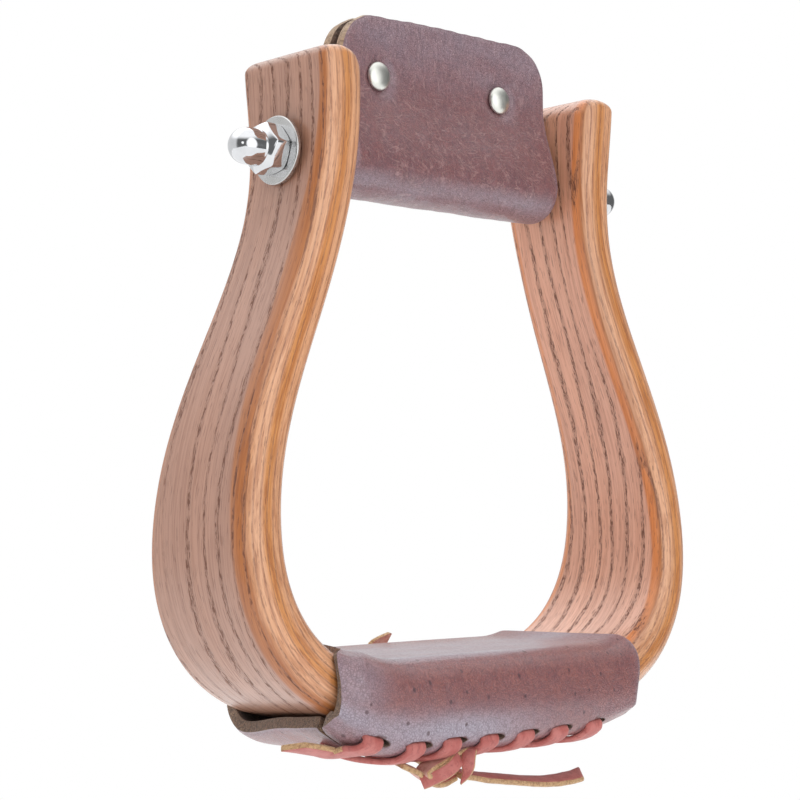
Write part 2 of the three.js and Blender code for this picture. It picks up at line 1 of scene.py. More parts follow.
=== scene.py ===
"""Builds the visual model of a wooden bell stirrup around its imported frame.

Sizes are in millimetres from the middle of the cross bolt, with X along the bolt, Y towards the back
and Z up. They become metres when a mesh is written. Each sub-assembly is a class that holds its sizes,
works its surfaces out as whole arrays and dresses them in its own finishes.
"""

import logging
import math
from dataclasses import dataclass, field
from enum import Enum

import bpy
import numpy as np
from mathutils import Matrix, Vector

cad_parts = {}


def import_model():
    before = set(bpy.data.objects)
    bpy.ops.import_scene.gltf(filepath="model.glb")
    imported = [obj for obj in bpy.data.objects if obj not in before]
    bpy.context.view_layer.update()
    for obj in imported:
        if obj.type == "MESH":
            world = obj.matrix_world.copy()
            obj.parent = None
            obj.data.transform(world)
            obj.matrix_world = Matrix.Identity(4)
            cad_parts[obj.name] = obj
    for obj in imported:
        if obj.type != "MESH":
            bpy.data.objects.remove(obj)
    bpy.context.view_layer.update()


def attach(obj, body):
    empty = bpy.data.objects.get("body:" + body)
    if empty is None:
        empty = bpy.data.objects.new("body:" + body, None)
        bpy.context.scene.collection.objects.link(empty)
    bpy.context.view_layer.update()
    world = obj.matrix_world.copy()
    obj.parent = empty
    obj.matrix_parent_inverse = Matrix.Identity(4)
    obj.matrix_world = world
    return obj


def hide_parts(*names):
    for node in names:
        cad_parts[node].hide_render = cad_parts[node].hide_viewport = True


LOG = logging.getLogger("stirrup")

# Metres in a millimetre, and the clearance between pieces that fit together, in millimetres
MM = 0.001
GAP = 0.3

Pair = tuple[float, float]
Colour = tuple[float, float, float]
Place = tuple[float, float, float]
Section = tuple[np.ndarray, np.ndarray]


class Side(Enum):
    """Which end of the bolt a piece stands on."""

    LEFT = -1
    RIGHT = 1


class Body(Enum):
    """The moving bodies of the frame."""

    STIRRUP = "stirrup"
    ROLLER = "roller"
    FLAP = "flap"


# Arithmetic on whole arrays


def smoothstep(x: np.ndarray | float, low: float, high: float) -> np.ndarray:
    """Rises from 0 at low to 1 at high as 3t^2 - 2t^3, with t the share of the way.

    Args:
        x: the values.
        low: where the rise starts.
        high: where it ends.

    Returns:
        The risen values, from 0 to 1.
    """
    share = np.clip((np.asarray(x, float) - low) / (high - low), 0.0, 1.0)
    return share * share * (3.0 - 2.0 * share)


def unit(vectors: np.ndarray) -> np.ndarray:
    """Each vector divided by its own length."""
    tiny = 1e-12
    return vectors / np.maximum(np.linalg.norm(vectors, axis=-1, keepdims=True), tiny)


def run_along(lines: np.ndarray) -> np.ndarray:
    """How far each point is along its line, with the points on the last axis but one."""
    steps = np.linalg.norm(np.diff(lines, axis=-2), axis=-1)
    return np.concatenate([np.zeros_like(steps[..., :1]), np.cumsum(steps, axis=-1)], -1)


def ripple(places: np.ndarray, size: float, seed: int) -> np.ndarray:
    """Soft unevenness: the mean of sine waves that run in fixed odd directions, from about -1 to 1.

    Args:
        places: points, with the last axis X, Y and Z.
        size: the waves' typical length, in the places' own unit.
        seed: says which directions and starts the waves have.

    Returns:
        One value for each place.
    """
    waves = 24
    chance = np.random.default_rng(seed)
    ways = unit(chance.normal(size=(waves, 3))) * chance.uniform(0.6, 1.6, (waves, 1))
    starts = chance.uniform(0.0, 2.0 * math.pi, waves)
    return np.sin(2.0 * math.pi * (places @ ways.T) / size + starts).sum(-1) * math.sqrt(2.0 / waves) / 2.0


def arc(middle: Pair, radius: float, start: float, end: float, count: int) -> np.ndarray:
    """Points on a circle's arc: the middle plus radius times the cosine and sine of evenly spaced angles.

    Args:
        middle: the circle's middle.
        radius: its radius.
        start: the first angle, in degrees.
        end: the last angle, in degrees.
        count: how many points, both ends included.

    Returns:
        An array of count rows of two values.
    """
    angle = np.radians(np.linspace(start, end, count))
    return np.stack([middle[0] + radius * np.cos(angle), middle[1] + radius * np.sin(angle)], -1)


def smooth_line(points: np.ndarray, count: int) -> np.ndarray:
    """A Catmull-Rom curve through points, resampled at even distances.

    Between points b and c, with neighbours a and d, the curve at share t is half of
    2b + (c - a)t + (2a - 5b + 4c - d)t^2 + (3b - a - 3c + d)t^3.

    Args:
        points: the points it goes through, one a row.
        count: how many points come back.

    Returns:
        An array of count rows.
    """
    held = np.concatenate([2 * points[:1] - points[1:2], points, 2 * points[-1:] - points[-2:-1]])
    a, b, c, d = held[:-3, None], held[1:-2, None], held[2:-1, None], held[3:, None]
    steps = 12
    t = np.linspace(0.0, 1.0, steps, endpoint=False)[None, :, None]
    curve = 0.5 * (2 * b + (c - a) * t + (2 * a - 5 * b + 4 * c - d) * t**2 + (3 * b - a - 3 * c + d) * t**3)
    curve = np.concatenate([curve.reshape(-1, points.shape[1]), points[-1:]])
    run = run_along(curve)
    even = np.linspace(0.0, run[-1], count)
    return np.stack([np.interp(even, run, curve[:, k]) for k in range(points.shape[1])], -1)


def across(line: np.ndarray, way: Place) -> np.ndarray:
    """The part of one direction that is square to a line, at each of the line's points."""
    forward = unit(np.gradient(line, axis=0))
    return unit(way - forward * (forward @ np.array(way))[:, None])


# Skins


@dataclass
class Skin:
    """A closed surface over a grid of places, ready to be written as a mesh.

    The rows run along the piece and the columns around it. Where the rows don't close on themselves,
    each end is filled by strips between column j and column n - j.

    Attributes:
        places: the grid, rows by columns by three, in millimetres.
        looped: whether the last row joins the first.
        finish: a material number for each column, or for each row and column.
        end_finish: the material number of the two filled ends.
        marks: what materials read, each an array over the grid, of single values or of vectors.
    """

    places: np.ndarray
    looped: bool = False
    finish: np.ndarray | int = 0
    end_finish: int = 0
    marks: dict[str, np.ndarray] = field(default_factory=dict)

    def faces(self) -> tuple[np.ndarray, np.ndarray, np.ndarray]:
        """The grid's faces.

        Returns:
            The quads, the triangles and every face's material number, quads first.
        """
        rows, columns, _ = self.places.shape
        spans = rows if self.looped else rows - 1
        row, column = np.meshgrid(np.arange(spans), np.arange(columns), indexing="ij")
        near = row * columns + column
        side = row * columns + (column + 1) % columns
        far = (near + columns) % (rows * columns)
        far_side = (side + columns) % (rows * columns)
        quads = np.stack([near, side, far_side, far], -1).reshape(-1, 4)
        finish = np.broadcast_to(self.finish, (spans, columns)).reshape(-1)
        if self.looped:
            return quads, np.empty((0, 3), int), finish
        half = columns // 2
        j = np.arange(1, half - 1)
        strip = np.stack([j, j + 1, columns - j - 1, columns - j], -1)
        tips = np.array([[0, 1, columns - 1], [half - 1, half, half + 1]])
        last = (rows - 1) * columns
        quads = np.concatenate([quads, strip[:, ::-1], strip + last])
        tips = np.concatenate([tips[:, ::-1], tips + last])
        ends = np.full(2 * len(strip) + len(tips), self.end_finish)
        return quads, tips, np.concatenate([finish, ends])


def signed_volume(places: np.ndarray, quads: np.ndarray, tips: np.ndarray) -> float:
    """The volume that faces enclose, below nought where they face inwards.

    It is a sixth of the sum over triangles of a . (b x c).

    Args:
        places: the points.
        quads: faces of four corners.
        tips: faces of three corners.

    Returns:
        The volume.
    """
    corners = np.concatenate([places[quads[:, [0, 1, 2]]], places[quads[:, [0, 2, 3]]], places[tips]])
    return float((corners[:, 0] * np.cross(corners[:, 1], corners[:, 2])).sum() / 6.0)


def round_sheet(core: np.ndarray, outer: np.ndarray, inner: np.ndarray) -> np.ndarray:
    """Closes a folded sheet's section: first rim, outer side, last rim, and inner side reversed.

    Args:
        core: the sheet's middle surface, rows by columns.
        outer: its outer side.
        inner: its inner side.

    Returns:
        The closed section's places. Each rim is the middle surface carried a little past its end.
    """
    past = 0.25
    ends = ((core[:, 0], core[:, 1]), (core[:, -1], core[:, -2]))
    first, last = ((tip + unit(tip - before) * past)[:, None] for tip, before in ends)
    return np.concatenate([first, outer, last, inner[:, ::-1]], 1)


def leather_skin(
    places: np.ndarray, sheet: np.ndarray, leather: float, rim: float, marks: dict[str, np.ndarray]
) -> Skin:
    """A folded sheet's skin, with the grain side 0, the cut edges 1 and the flesh side 2.

    Args:
        places: the closed section's places, from round_sheet.
        sheet: where each point of the grain side lies on the flat leather.
        leather: how far the flesh side lies under the grain side in the mark sheet.
        rim: the same for the two rims.
        marks: single values over the grain side, which the rims and the flesh side repeat.

    Returns:
        The skin.
    """

    def repeated(values: np.ndarray, back: np.ndarray) -> np.ndarray:
        return np.concatenate([values[:, :1], values, values[:, -1:], back[:, ::-1]], 1)

    count = sheet.shape[1]
    pattern = repeated(sheet, sheet - (0.0, 0.0, leather))
    pattern[:, [0, count + 1], 2] -= rim
    finish = np.full(places.shape[1], 1)
    finish[1:count] = 0
    finish[count + 2 : -1] = 2
    found = {mark: repeated(values, values) for mark, values in marks.items()}
    return Skin(places, finish=finish, end_finish=1, marks={"sheet": pattern, **found})


def stand(name: str, data: bpy.types.ID) -> bpy.types.Object:
    """Puts data into the scene as an object at the origin."""
    placed = bpy.data.objects.new(name, data)
    bpy.context.scene.collection.objects.link(placed)
    return placed


def write_piece(
    name: str, skin: Skin, materials: list[bpy.types.Material], sharp: float = 60.0
) -> bpy.types.Object:
    """Writes a skin as an object at the origin, its faces outwards and its place in its mesh.

    Args:
        name: the piece's name.
        skin: its surface.
        materials: its finishes, in the order of the skin's material numbers.
        sharp: the angle in degrees past which an edge isn't shaded smooth.

    Returns:
        The new object.
    """
    places = skin.places.reshape(-1, 3) * MM
    quads, tips, finish = skin.faces()
    if signed_volume(places, quads, tips) < 0:
        quads, tips = quads[:, ::-1], tips[:, ::-1]
    mesh = bpy.data.meshes.new(name)
    mesh.vertices.add(len(places))
    mesh.vertices.foreach_set("co", places.ravel())
    mesh.loops.add(quads.size + tips.size)
    mesh.loops.foreach_set("vertex_index", np.concatenate([quads.ravel(), tips.ravel()]).astype(np.int32))
    sizes = np.concatenate([np.full(len(quads), 4), np.full(len(tips), 3)])
    starts = np.concatenate([[0], np.cumsum(sizes)[:-1]])
    mesh.polygons.add(len(sizes))
    mesh.polygons.foreach_set("loop_start", starts.astype(np.int32))
    for material in materials:
        mesh.materials.append(material)
    mesh.polygons.foreach_set("material_index", finish.astype(np.int32))
    mesh.update(calc_edges=True)
    for mark, values in skin.marks.items():
        vector = values.ndim == 3
        layer = mesh.attributes.new(mark, "FLOAT_VECTOR" if vector else "FLOAT", "POINT")
        layer.data.foreach_set("vector" if vector else "value", values.astype(np.float32).ravel())
    mesh.polygons.foreach_set("use_smooth", np.ones(len(sizes), bool))
    mesh.set_sharp_from_angle(angle=math.radians(sharp))
    mesh.validate()
    return stand(name, mesh)


def cut_away(piece: bpy.types.Object, cutter: bpy.types.Object) -> None:
    """Cuts one object's solid out of another, keeps the cutter's finish in the cut and drops it."""
    cut = piece.modifiers.new("cut", "BOOLEAN")
    cut.operation = "DIFFERENCE"
    cut.solver = "EXACT"
    cut.material_mode = "TRANSFER"
    cut.object = cutter
    bpy.context.view_layer.objects.active = piece
    bpy.ops.object.modifier_apply(modifier=cut.name)
    bpy.data.objects.remove(cutter)


def turned(profile: np.ndarray, columns: int = 72) -> np.ndarray:
    """Revolves a profile about X: a row at x with radius r gives (x, r cos a, r sin a).

    Args:
        profile: rows of x and radius.
        columns: how many places go round.

    Returns:
        The grid of places.
    """
    angle = np.linspace(0.0, 2.0 * math.pi, columns, endpoint=False)
    x, radius = profile[:, 0, None], profile[:, 1, None]
    round_it = [np.broadcast_to(x, (len(profile), columns)), radius * np.cos(angle), radius * np.sin(angle)]
    return np.stack(round_it, -1)


# Shader webs


class Web:
    """Places and links the nodes of one tree."""

    def __init__(self, tree: bpy.types.NodeTree) -> None:
        """Starts on a tree.

        Args:
            tree: the node tree that the nodes go into.
        """
        self.tree = tree

    def plug(self, socket: bpy.types.NodeSocket, value: object) -> None:
        """Links a socket to another one, or sets its value."""
        if isinstance(value, bpy.types.NodeSocket):
            self.tree.links.new(value, socket)
        elif value is not None:
            socket.default_value = value

    def feed(self, node: bpy.types.Node, **inputs: object) -> bpy.types.Node:
        """Plugs a node's inputs.

        Args:
            node: the node.
            **inputs: its inputs by name, with underscores for spaces.

        Returns:
            The same node.
        """
        for name, value in inputs.items():
            self.plug(node.inputs[name.replace("_", " ")], value)
        return node

    def add(self, kind: str, settings: dict[str, object] | None = None, **inputs: object) -> bpy.types.Node:
        """Adds a node.

        Args:
            kind: its type, without the leading ShaderNode.
            settings: its own properties.
            **inputs: its inputs by name, with underscores for spaces.

        Returns:
            The node.
        """
        node = self.tree.nodes.new("ShaderNode" + kind)
        for name, value in (settings or {}).items():
            setattr(node, name, value)
        return self.feed(node, **inputs)

    def math(self, operation: str, a: object, b: object = None, c: object = None) -> bpy.types.NodeSocket:
        """One sum on up to three values."""
        node = self.add("Math", {"operation": operation})
        for socket, value in zip(node.inputs, (a, b, c)):
            self.plug(socket, value)
        return node.outputs[0]

    def times(self, a: object, b: object, plus: object = None) -> bpy.types.NodeSocket:
        """The product of two values, with a third one added where it is given."""
        return self.math("MULTIPLY" if plus is None else "MULTIPLY_ADD", a, b, plus)

    def most(self, a: object, b: object) -> bpy.types.NodeSocket:
        """The larger of two values."""
        return self.math("MAXIMUM", a, b)

    def vector(self, operation: str, a: object, b: object = None) -> bpy.types.NodeSocket:
        """One sum on vectors, whose result is a vector, or a value for a dot product."""
        node = self.add("VectorMath", {"operation": operation})
        for socket, value in zip(node.inputs, (a, b)):
            self.plug(socket, value)
        return node.outputs["Value" if operation == "DOT_PRODUCT" else "Vector"]

    def mix(self, share: object, a: object, b: object, blend: str = "MIX") -> bpy.types.NodeSocket:
        """Two colours mixed, or blended in another way, by a share."""
        node = self.add("Mix", {"data_type": "RGBA", "blend_type": blend})
        self.plug(node.inputs[0], share)
        for socket, colour in ((node.inputs[6], a), (node.inputs[7], b)):
            self.plug(socket, (*colour, 1.0) if isinstance(colour, tuple) else colour)
        return node.outputs[2]

    def fade(
        self, value: object, low: float, high: float, start: float = 0.0, end: float = 1.0
    ) -> bpy.types.NodeSocket:
        """A value carried smoothly from one range to another, and held outside it."""
        node = self.add("MapRange", {"interpolation_type": "SMOOTHSTEP"}, Value=value)
        self.feed(node, From_Min=low, From_Max=high, To_Min=start, To_Max=end)
        return node.outputs["Result"]

    def noise(
        self, place: object, scale: float, detail: float = 2.0, roughness: float = 0.5
    ) -> bpy.types.NodeSocket:
        """Soft noise from 0 to 1."""
        node = self.add("TexNoise", None, Vector=place, Scale=scale, Detail=detail, Roughness=roughness)
        return node.outputs[0]

    def stretched(self, place: object, scale: Place) -> bpy.types.NodeSocket:
        """A place with each of its parts scaled."""
        return self.vector("MULTIPLY", place, scale)

    def mark(self, name: str, vector: bool = False) -> bpy.types.NodeSocket:
        """What a piece's mesh says at each point under a name."""
        node = self.add("Attribute", {"attribute_name": name})
        return node.outputs["Vector" if vector else "Fac"]

    def bump(self, height: object, distance: float, strength: float) -> bpy.types.NodeSocket:
        """A normal tilted by a height, with the distance in metres."""
        return self.add("Bump", None, Strength=strength, Distance=distance, Height=height).outputs["Normal"]

    def group(self, tree: bpy.types.NodeTree, **inputs: object) -> bpy.types.Node:
        """Places a shared group with its own values."""
        return self.feed(self.add("Group", {"node_tree": tree}), **inputs)


def new_group(
    name: str, inputs: dict[str, str | float], outputs: tuple[str, ...]
) -> tuple[Web, dict[str, bpy.types.NodeSocket], bpy.types.Node]:
    """Starts a node group with named inputs and outputs.

    Args:
        name: the group's name.
        inputs: each input's name, with "vector" or a starting value.
        outputs: the names of the values that it puts out.

    Returns:
        A web on its tree, its inputs by name, and its output node.
    """
    tree = bpy.data.node_groups.new(name, "ShaderNodeTree")
    for label, start in inputs.items():
        kind = "NodeSocketVector" if start == "vector" else "NodeSocketFloat"
        socket = tree.interface.new_socket(label, in_out="INPUT", socket_type=kind)
        if kind == "NodeSocketFloat":
            socket.default_value = start
    for label in outputs:
        tree.interface.new_socket(label, in_out="OUTPUT", socket_type="NodeSocketFloat")
    entry = tree.nodes.new("NodeGroupInput")
    return Web(tree), {label: entry.outputs[label] for label in inputs}, tree.nodes.new("NodeGroupOutput")


def new_material(name: str, **constants: object) -> tuple[Web, bpy.types.Node, bpy.types.Material]:
    """Starts a material on one Principled shader.

    Args:
        name: the material's name.
        **constants: values set on the shader's own sockets.

    Returns:
        A web on its tree, the shader and the material.
    """
    material = bpy.data.materials.new(name)
    material.use_nodes = True
    web = Web(material.node_tree)
    return web, web.feed(material.node_tree.nodes["Principled BSDF"], **constants), material


def fibre_group() -> bpy.types.NodeTree:
    """Fine raised fibres and specks, for raw leather and thong alike.

    Returns:
        The group: a place in millimetres and a size go in, and a height and a mask come out.
    """
    web, inside, out = new_group("fibres", {"Place": "vector", "Size": 0.4}, ("Height", "Specks"))
    scaled = web.add("VectorMath", {"operation": "SCALE"})
    web.plug(scaled.inputs[0], inside["Place"])
    web.plug(scaled.inputs["Scale"], web.math("DIVIDE", 1.0, inside["Size"]))
    place = scaled.outputs["Vector"]
    coarse = web.noise(place, 0.5, 3.0, 0.6)
    fine = web.noise(place, 1.7, 4.0, 0.7)
    height = web.math("ADD", web.times(coarse, 0.6), web.times(fine, 0.4))
    web.feed(out, Height=height, Specks=web.fade(fine, 0.52, 0.72))
    return web.tree


@dataclass(frozen=True)
class WoodFinish:
    """Open-pored bent hardwood under a clear coat.

    Attributes:
        pale: the wood between its rings on the wide faces, paled by a painted sheen.
        warm: the wood between its rings on the narrow faces, its own orange.
        light: a painted highlight, a pale band beside it.
        deep: painted shade, a darker orange along the rounded edges where no glare falls.
        ring: the darker wood of each ring's start.
        pore: the bottoms of the pores.
        ring_pitch: the rings' spacing, in millimetres.
        ring_slope: how far the rings lean from the narrow face, in degrees.
    """

    pale: Colour = (0.46, 0.24, 0.166)
    warm: Colour = (0.64, 0.27, 0.085)
    light: Colour = (0.74, 0.41, 0.25)
    deep: Colour = (0.45, 0.155, 0.042)
    ring: Colour = (0.30, 0.135, 0.08)
    pore: Colour = (0.16, 0.056, 0.03)
    ring_pitch: float = 1.72
    ring_slope: float = 71.5

    def make(self) -> bpy.types.Material:
        """Makes the material, which reads the marks strip and turn.

        The mark strip is a place in the straight strip, along, out and in depth. The mark turn is 0
        on the wide faces and 1 on the narrow ones. The rings are a sawtooth over a place square to
        them, which two noises bend, and pores open where each ring starts. The colours also carry
        painted light: a sheen on the wide faces, shade along the rounded edges, a highlight band on
        the narrow faces and brightening on the inner wide faces.

        Returns:
            The material.
        """
        web, shader, material = new_material("bow_wood", Coat_Roughness=0.24, Coat_IOR=1.5, IOR=1.45)
        strip = web.mark("strip", vector=True)
        parts = web.add("SeparateXYZ", None, Vector=strip)
        slope = math.radians(self.ring_slope)
        drift = web.noise(web.stretched(strip, (0.009, 0.04, 0.04)), 1.0, 2.0)
        wave = web.noise(web.stretched(strip, (0.05, 0.3, 0.3)), 1.0, 2.0)
        across = web.times(parts.outputs["Z"], math.cos(slope))
        across = web.times(parts.outputs["Y"], math.sin(slope), across)
        across = web.times(drift, 5.5, across)
        across = web.times(wave, 0.5, across)
        phase = web.math("FRACT", web.math("DIVIDE", across, self.ring_pitch))
        early = web.most(web.fade(phase, 0.28, 0.06), web.fade(phase, 0.92, 1.0))
        uneven = web.noise(web.stretched(strip, (0.016, 0.3, 0.3)), 1.0, 1.0)
        early = web.times(early, web.fade(uneven, 0.22, 0.48))

        dashes = web.noise(web.stretched(strip, (0.46, 2.7, 2.7)), 1.0, 2.0, 0.65)
        ticks = web.noise(web.stretched(strip, (0.24, 3.1, 3.1)), 1.0, 1.0, 0.5)
        fibres = web.noise(web.stretched(strip, (0.05, 2.0, 2.0)), 1.0, 4.0, 0.7)
        cloud = web.noise(web.stretched(strip, (0.012, 0.11, 0.11)), 1.0, 2.0)
        streaks = web.noise(web.stretched(strip, (0.02, 0.9, 0.9)), 1.0, 3.0, 0.6)
        turn = web.mark("turn")
        narrow = web.fade(turn, 0.25, 0.75)
        open_pores = web.times(web.fade(dashes, 0.5, 0.56), web.fade(early, 0.15, 0.7))
        open_pores = web.times(open_pores, web.fade(narrow, 0.0, 1.0, 1.0, 0.4))
        stray = web.times(web.fade(ticks, 0.64, 0.7), 0.5)
        pores = web.most(open_pores, stray)
        # Painted sheen: the wide faces get a paler colour than the narrow faces' own orange.
        body = web.mix(narrow, self.pale, self.warm)
        wander = web.times(web.math("SUBTRACT", streaks, 0.5), 0.35, turn)
        # Painted shade: a darker orange along the rounded edges, where no glare falls.
        edge = web.times(web.fade(turn, 0.0, 0.14), web.fade(wander, 0.56, 0.44))
        off_middle = web.math("ABSOLUTE", parts.outputs["Y"])
        # Painted highlight: a pale band on the narrow faces, away from their middle.
        band = web.times(web.fade(wander, 0.46, 0.6), web.fade(off_middle, 0.4, 2.2))
        body = web.mix(web.times(band, 0.75), body, self.light)
        body = web.mix(web.times(edge, 0.9), body, self.deep)
        # Painted light: the inner wide faces are brightened.
        inner_face_painted_light = web.times(web.fade(parts.outputs["Y"], 1.0, -4.0), web.fade(narrow, 0.5, 0.0))
        body = web.mix(inner_face_painted_light, body, (1.6, 1.56, 1.52), "MULTIPLY")
        body = web.mix(web.fade(cloud, 0.35, 0.7, 0.0, 0.5), body, (1.16, 1.12, 1.06), "MULTIPLY")
        grain = web.times(web.fade(streaks, 0.46, 0.62), web.fade(narrow, 0.0, 1.0, 0.15, 0.6))
        body = web.mix(grain, body, (0.66, 0.5, 0.36), "MULTIPLY")
        body = web.mix(web.fade(fibres, 0.42, 0.62, 0.0, 0.5), body, (0.66, 0.54, 0.46), "MULTIPLY")
        body = web.mix(web.times(early, 0.42), body, self.ring)
        body = web.mix(web.times(pores, 0.9), body, self.pore)
        line = web.fade(web.math("ABSOLUTE", web.math("SUBTRACT", wander, 0.5)), 0.035, 0.01)
        line = web.times(line, web.fade(uneven, 0.52, 0.58, 0.0, 0.6))
        body = web.mix(line, body, self.pore)

        roughness = web.fade(pores, 0.0, 1.0, 0.42, 0.65)
        coat = web.fade(pores, 0.1, 0.9, 0.8, 0.2)
        height = web.times(pores, -1.0, web.times(fibres, 0.3))
        normal, coat_normal = web.bump(height, 0.0002, 0.5), web.bump(height, 0.0001, 0.35)
        web.feed(shader, Base_Color=body, Roughness=roughness, Coat_Weight=coat)
        web.feed(shader, Normal=normal, Coat_Normal=coat_normal)
        return material


@dataclass(frozen=True)
class LeatherFinish:
    """The grain side of oiled, waxed dark leather.

    Attributes:
        name: the material's name.
        body: its usual colour.
        warm: where it is redder and thinner.
        spots: how dark its spots are, from 0 to 1.
        creases: how strongly it is creased, from 0 to 1.
        deep: painted shade in its pits, and its dark spots.
        worn_and_sheen_colour: the pale colour of worn rims and rubbed places, and the painted sheen where
            the leather shines.
        scuffed_and_highlit: a painted highlight on its raised grain, and the lines of its creases and its
            streaks.
    """

    name: str
    body: Colour
    warm: Colour
    spots: float
    creases: float
    deep: Colour = (0.085, 0.03, 0.035)
    worn_and_sheen_colour: Colour = (0.46, 0.43, 0.52)
    scuffed_and_highlit: Colour = (0.46, 0.25, 0.235)

    def make(self) -> bpy.types.Material:
        """Makes the material, which reads the mark sheet and how much of each effect a place has.

        Those marks run from 0 to 1: worn along rims and where the leather is rubbed, crease where
        it is creased, streak where scuffs run down it, and haze, a painted sheen, where it shines.
        A mark that the mesh lacks is 0.

        Returns:
            The material.
        """
        web, shader, material = new_material(
            self.name, IOR=1.6, Coat_Roughness=0.24, Coat_IOR=1.55, Specular_Tint=(0.72, 0.85, 1.0, 1.0)
        )
        sheet = web.mark("sheet", vector=True)
        worn = web.mark("worn")
        crease = web.mark("crease")
        cloud = web.noise(sheet, 0.06, 3.0, 0.6)
        blotch = web.noise(sheet, 0.3, 5.0, 0.7)
        cells = web.add("TexVoronoi", {"feature": "DISTANCE_TO_EDGE"}, Vector=sheet, Scale=1.75)
        small = web.add("TexVoronoi", {"feature": "SMOOTH_F1"}, Vector=sheet, Scale=1.9, Smoothness=0.3)
        pits = web.fade(cells.outputs["Distance"], 0.2, 0.03)
        pits = web.times(pits, web.fade(web.noise(sheet, 0.9, 2.0), 0.3, 0.6, 0.45, 1.0))
        first = self.wrinkles(web, sheet, (0.16, 0.95, 0.3), 0.5)
        second = self.wrinkles(web, sheet, (0.2, 0.75, 0.3), 1.05)
        third = self.wrinkles(web, sheet, (0.17, 0.6, 0.3), -0.1)
        lines = web.most(web.most(first, second), third)
        lines = web.times(lines, web.times(crease, self.creases))
        down = web.noise(web.stretched(sheet, (1.5, 0.24, 0.3)), 1.0, 3.0, 0.6)
        down = web.times(web.fade(down, 0.5, 0.66), web.mark("streak"))
        speckle = web.add("TexVoronoi", {"voronoi_dimensions": "2D"}, Vector=sheet, Scale=0.17)
        chosen = web.add("SeparateXYZ", None, Vector=speckle.outputs["Color"]).outputs["X"]
        dots = web.times(blotch, 0.12, speckle.outputs["Distance"])
        dots = web.times(web.fade(dots, 0.16, 0.1, 0.0, self.spots), web.fade(chosen, 0.52, 0.6))

        colour = web.mix(web.fade(blotch, 0.38, 0.62), self.body, self.warm)
        colour = web.mix(web.fade(cloud, 0.4, 0.72, 0.0, 0.5), colour, (0.72, 0.7, 0.8), "MULTIPLY")
        # Painted highlight: the grain's raised tops are lightened.
        tops = web.fade(small.outputs["Distance"], 0.45, 0.2, 0.0, 0.22)
        colour = web.mix(tops, colour, self.scuffed_and_highlit)
        colour = web.mix(web.times(lines, 0.65), colour, self.scuffed_and_highlit)
        colour = web.mix(web.times(down, 0.5), colour, self.scuffed_and_highlit)
        # Real wear on rims and rubbed places, mixed with a painted sheen, both in one pale colour.
        wear_and_painted_sheen = web.most(web.times(worn, 0.45), web.times(web.mark("painted_sheen"), 0.9))
        colour = web.mix(wear_and_painted_sheen, colour, self.worn_and_sheen_colour)
        # Painted shade: the grain's pits are darkened.
        colour = web.mix(web.times(pits, 0.44), colour, self.deep)
        colour = web.mix(dots, colour, self.deep)
        roughness = web.fade(blotch, 0.3, 0.7, 0.36, 0.48)
        coat = web.fade(cloud, 0.3, 0.7, 0.35, 0.6)
        height = web.times(pits, -0.8, web.times(small.outputs["Distance"], 0.4))
        height = web.times(lines, -0.8, height)
        height = web.times(blotch, 0.6, height)
        normal = web.bump(height, 0.00024, 0.75)
        web.feed(shader, Base_Color=colour, Roughness=roughness, Coat_Weight=coat, Normal=normal)
        return material

    @staticmethod
    def wrinkles(web: Web, sheet: object, scale: Place, turn: float) -> bpy.types.NodeSocket:
        """Fine wandering lines: where a stretched, turned noise passes its middle value.

        Args:
            web: the material's web.
            sheet: the leather's own places.
            scale: how fast the noise changes along each axis, per millimetre.
            turn: how far the lines are turned on the sheet, in radians.

        Returns:
            A mask of the lines.
        """
        bent = web.add("VectorRotate", {"rotation_type": "Z_AXIS"}, Vector=sheet, Angle=turn)
        wander = web.noise(web.stretched(bent.outputs[0], scale), 1.0, 0.5, 0.5)
        line = web.math("ABSOLUTE", web.math("SUBTRACT", wander, 0.5))
        broken = web.fade(web.noise(bent.outputs[0], 0.2, 2.0), 0.45, 0.58)
        return web.times(web.fade(line, 0.036, 0.008), broken)


@dataclass(frozen=True)
class RawFinish:
    """A cut edge or the flesh side, with its fibres showing.

    Attributes:
        name: the material's name.
        body: its usual colour.
        dark: its colour between fibres.
        light: the tips of its fibres.
        fibre: the fibres' size, in millimetres.
    """

    name: str
    body: Colour
    dark: Colour
    light: Colour
    fibre: float

    def make(self, fibres: bpy.types.NodeTree) -> bpy.types.Material:
        """Makes the material, which reads the mark sheet.

        Args:
            fibres: the shared group of fibres.

        Returns:
            The material.
        """
        web, shader, material = new_material(self.name, IOR=1.4, Sheen_Weight=0.25, Sheen_Roughness=0.6)
        sheet = web.mark("sheet", vector=True)
        nap = web.group(fibres, Place=sheet, Size=self.fibre)
        colour = web.mix(web.fade(nap.outputs["Height"], 0.35, 0.6), self.dark, self.body)
        colour = web.mix(web.times(nap.outputs["Specks"], 0.6), colour, self.light)
        roughness = web.fade(nap.outputs["Height"], 0.3, 0.7, 0.92, 0.75)
        normal = web.bump(nap.outputs["Height"], 0.0005, 0.8)
        web.feed(shader, Base_Color=colour, Roughness=roughness, Normal=normal)
        return material


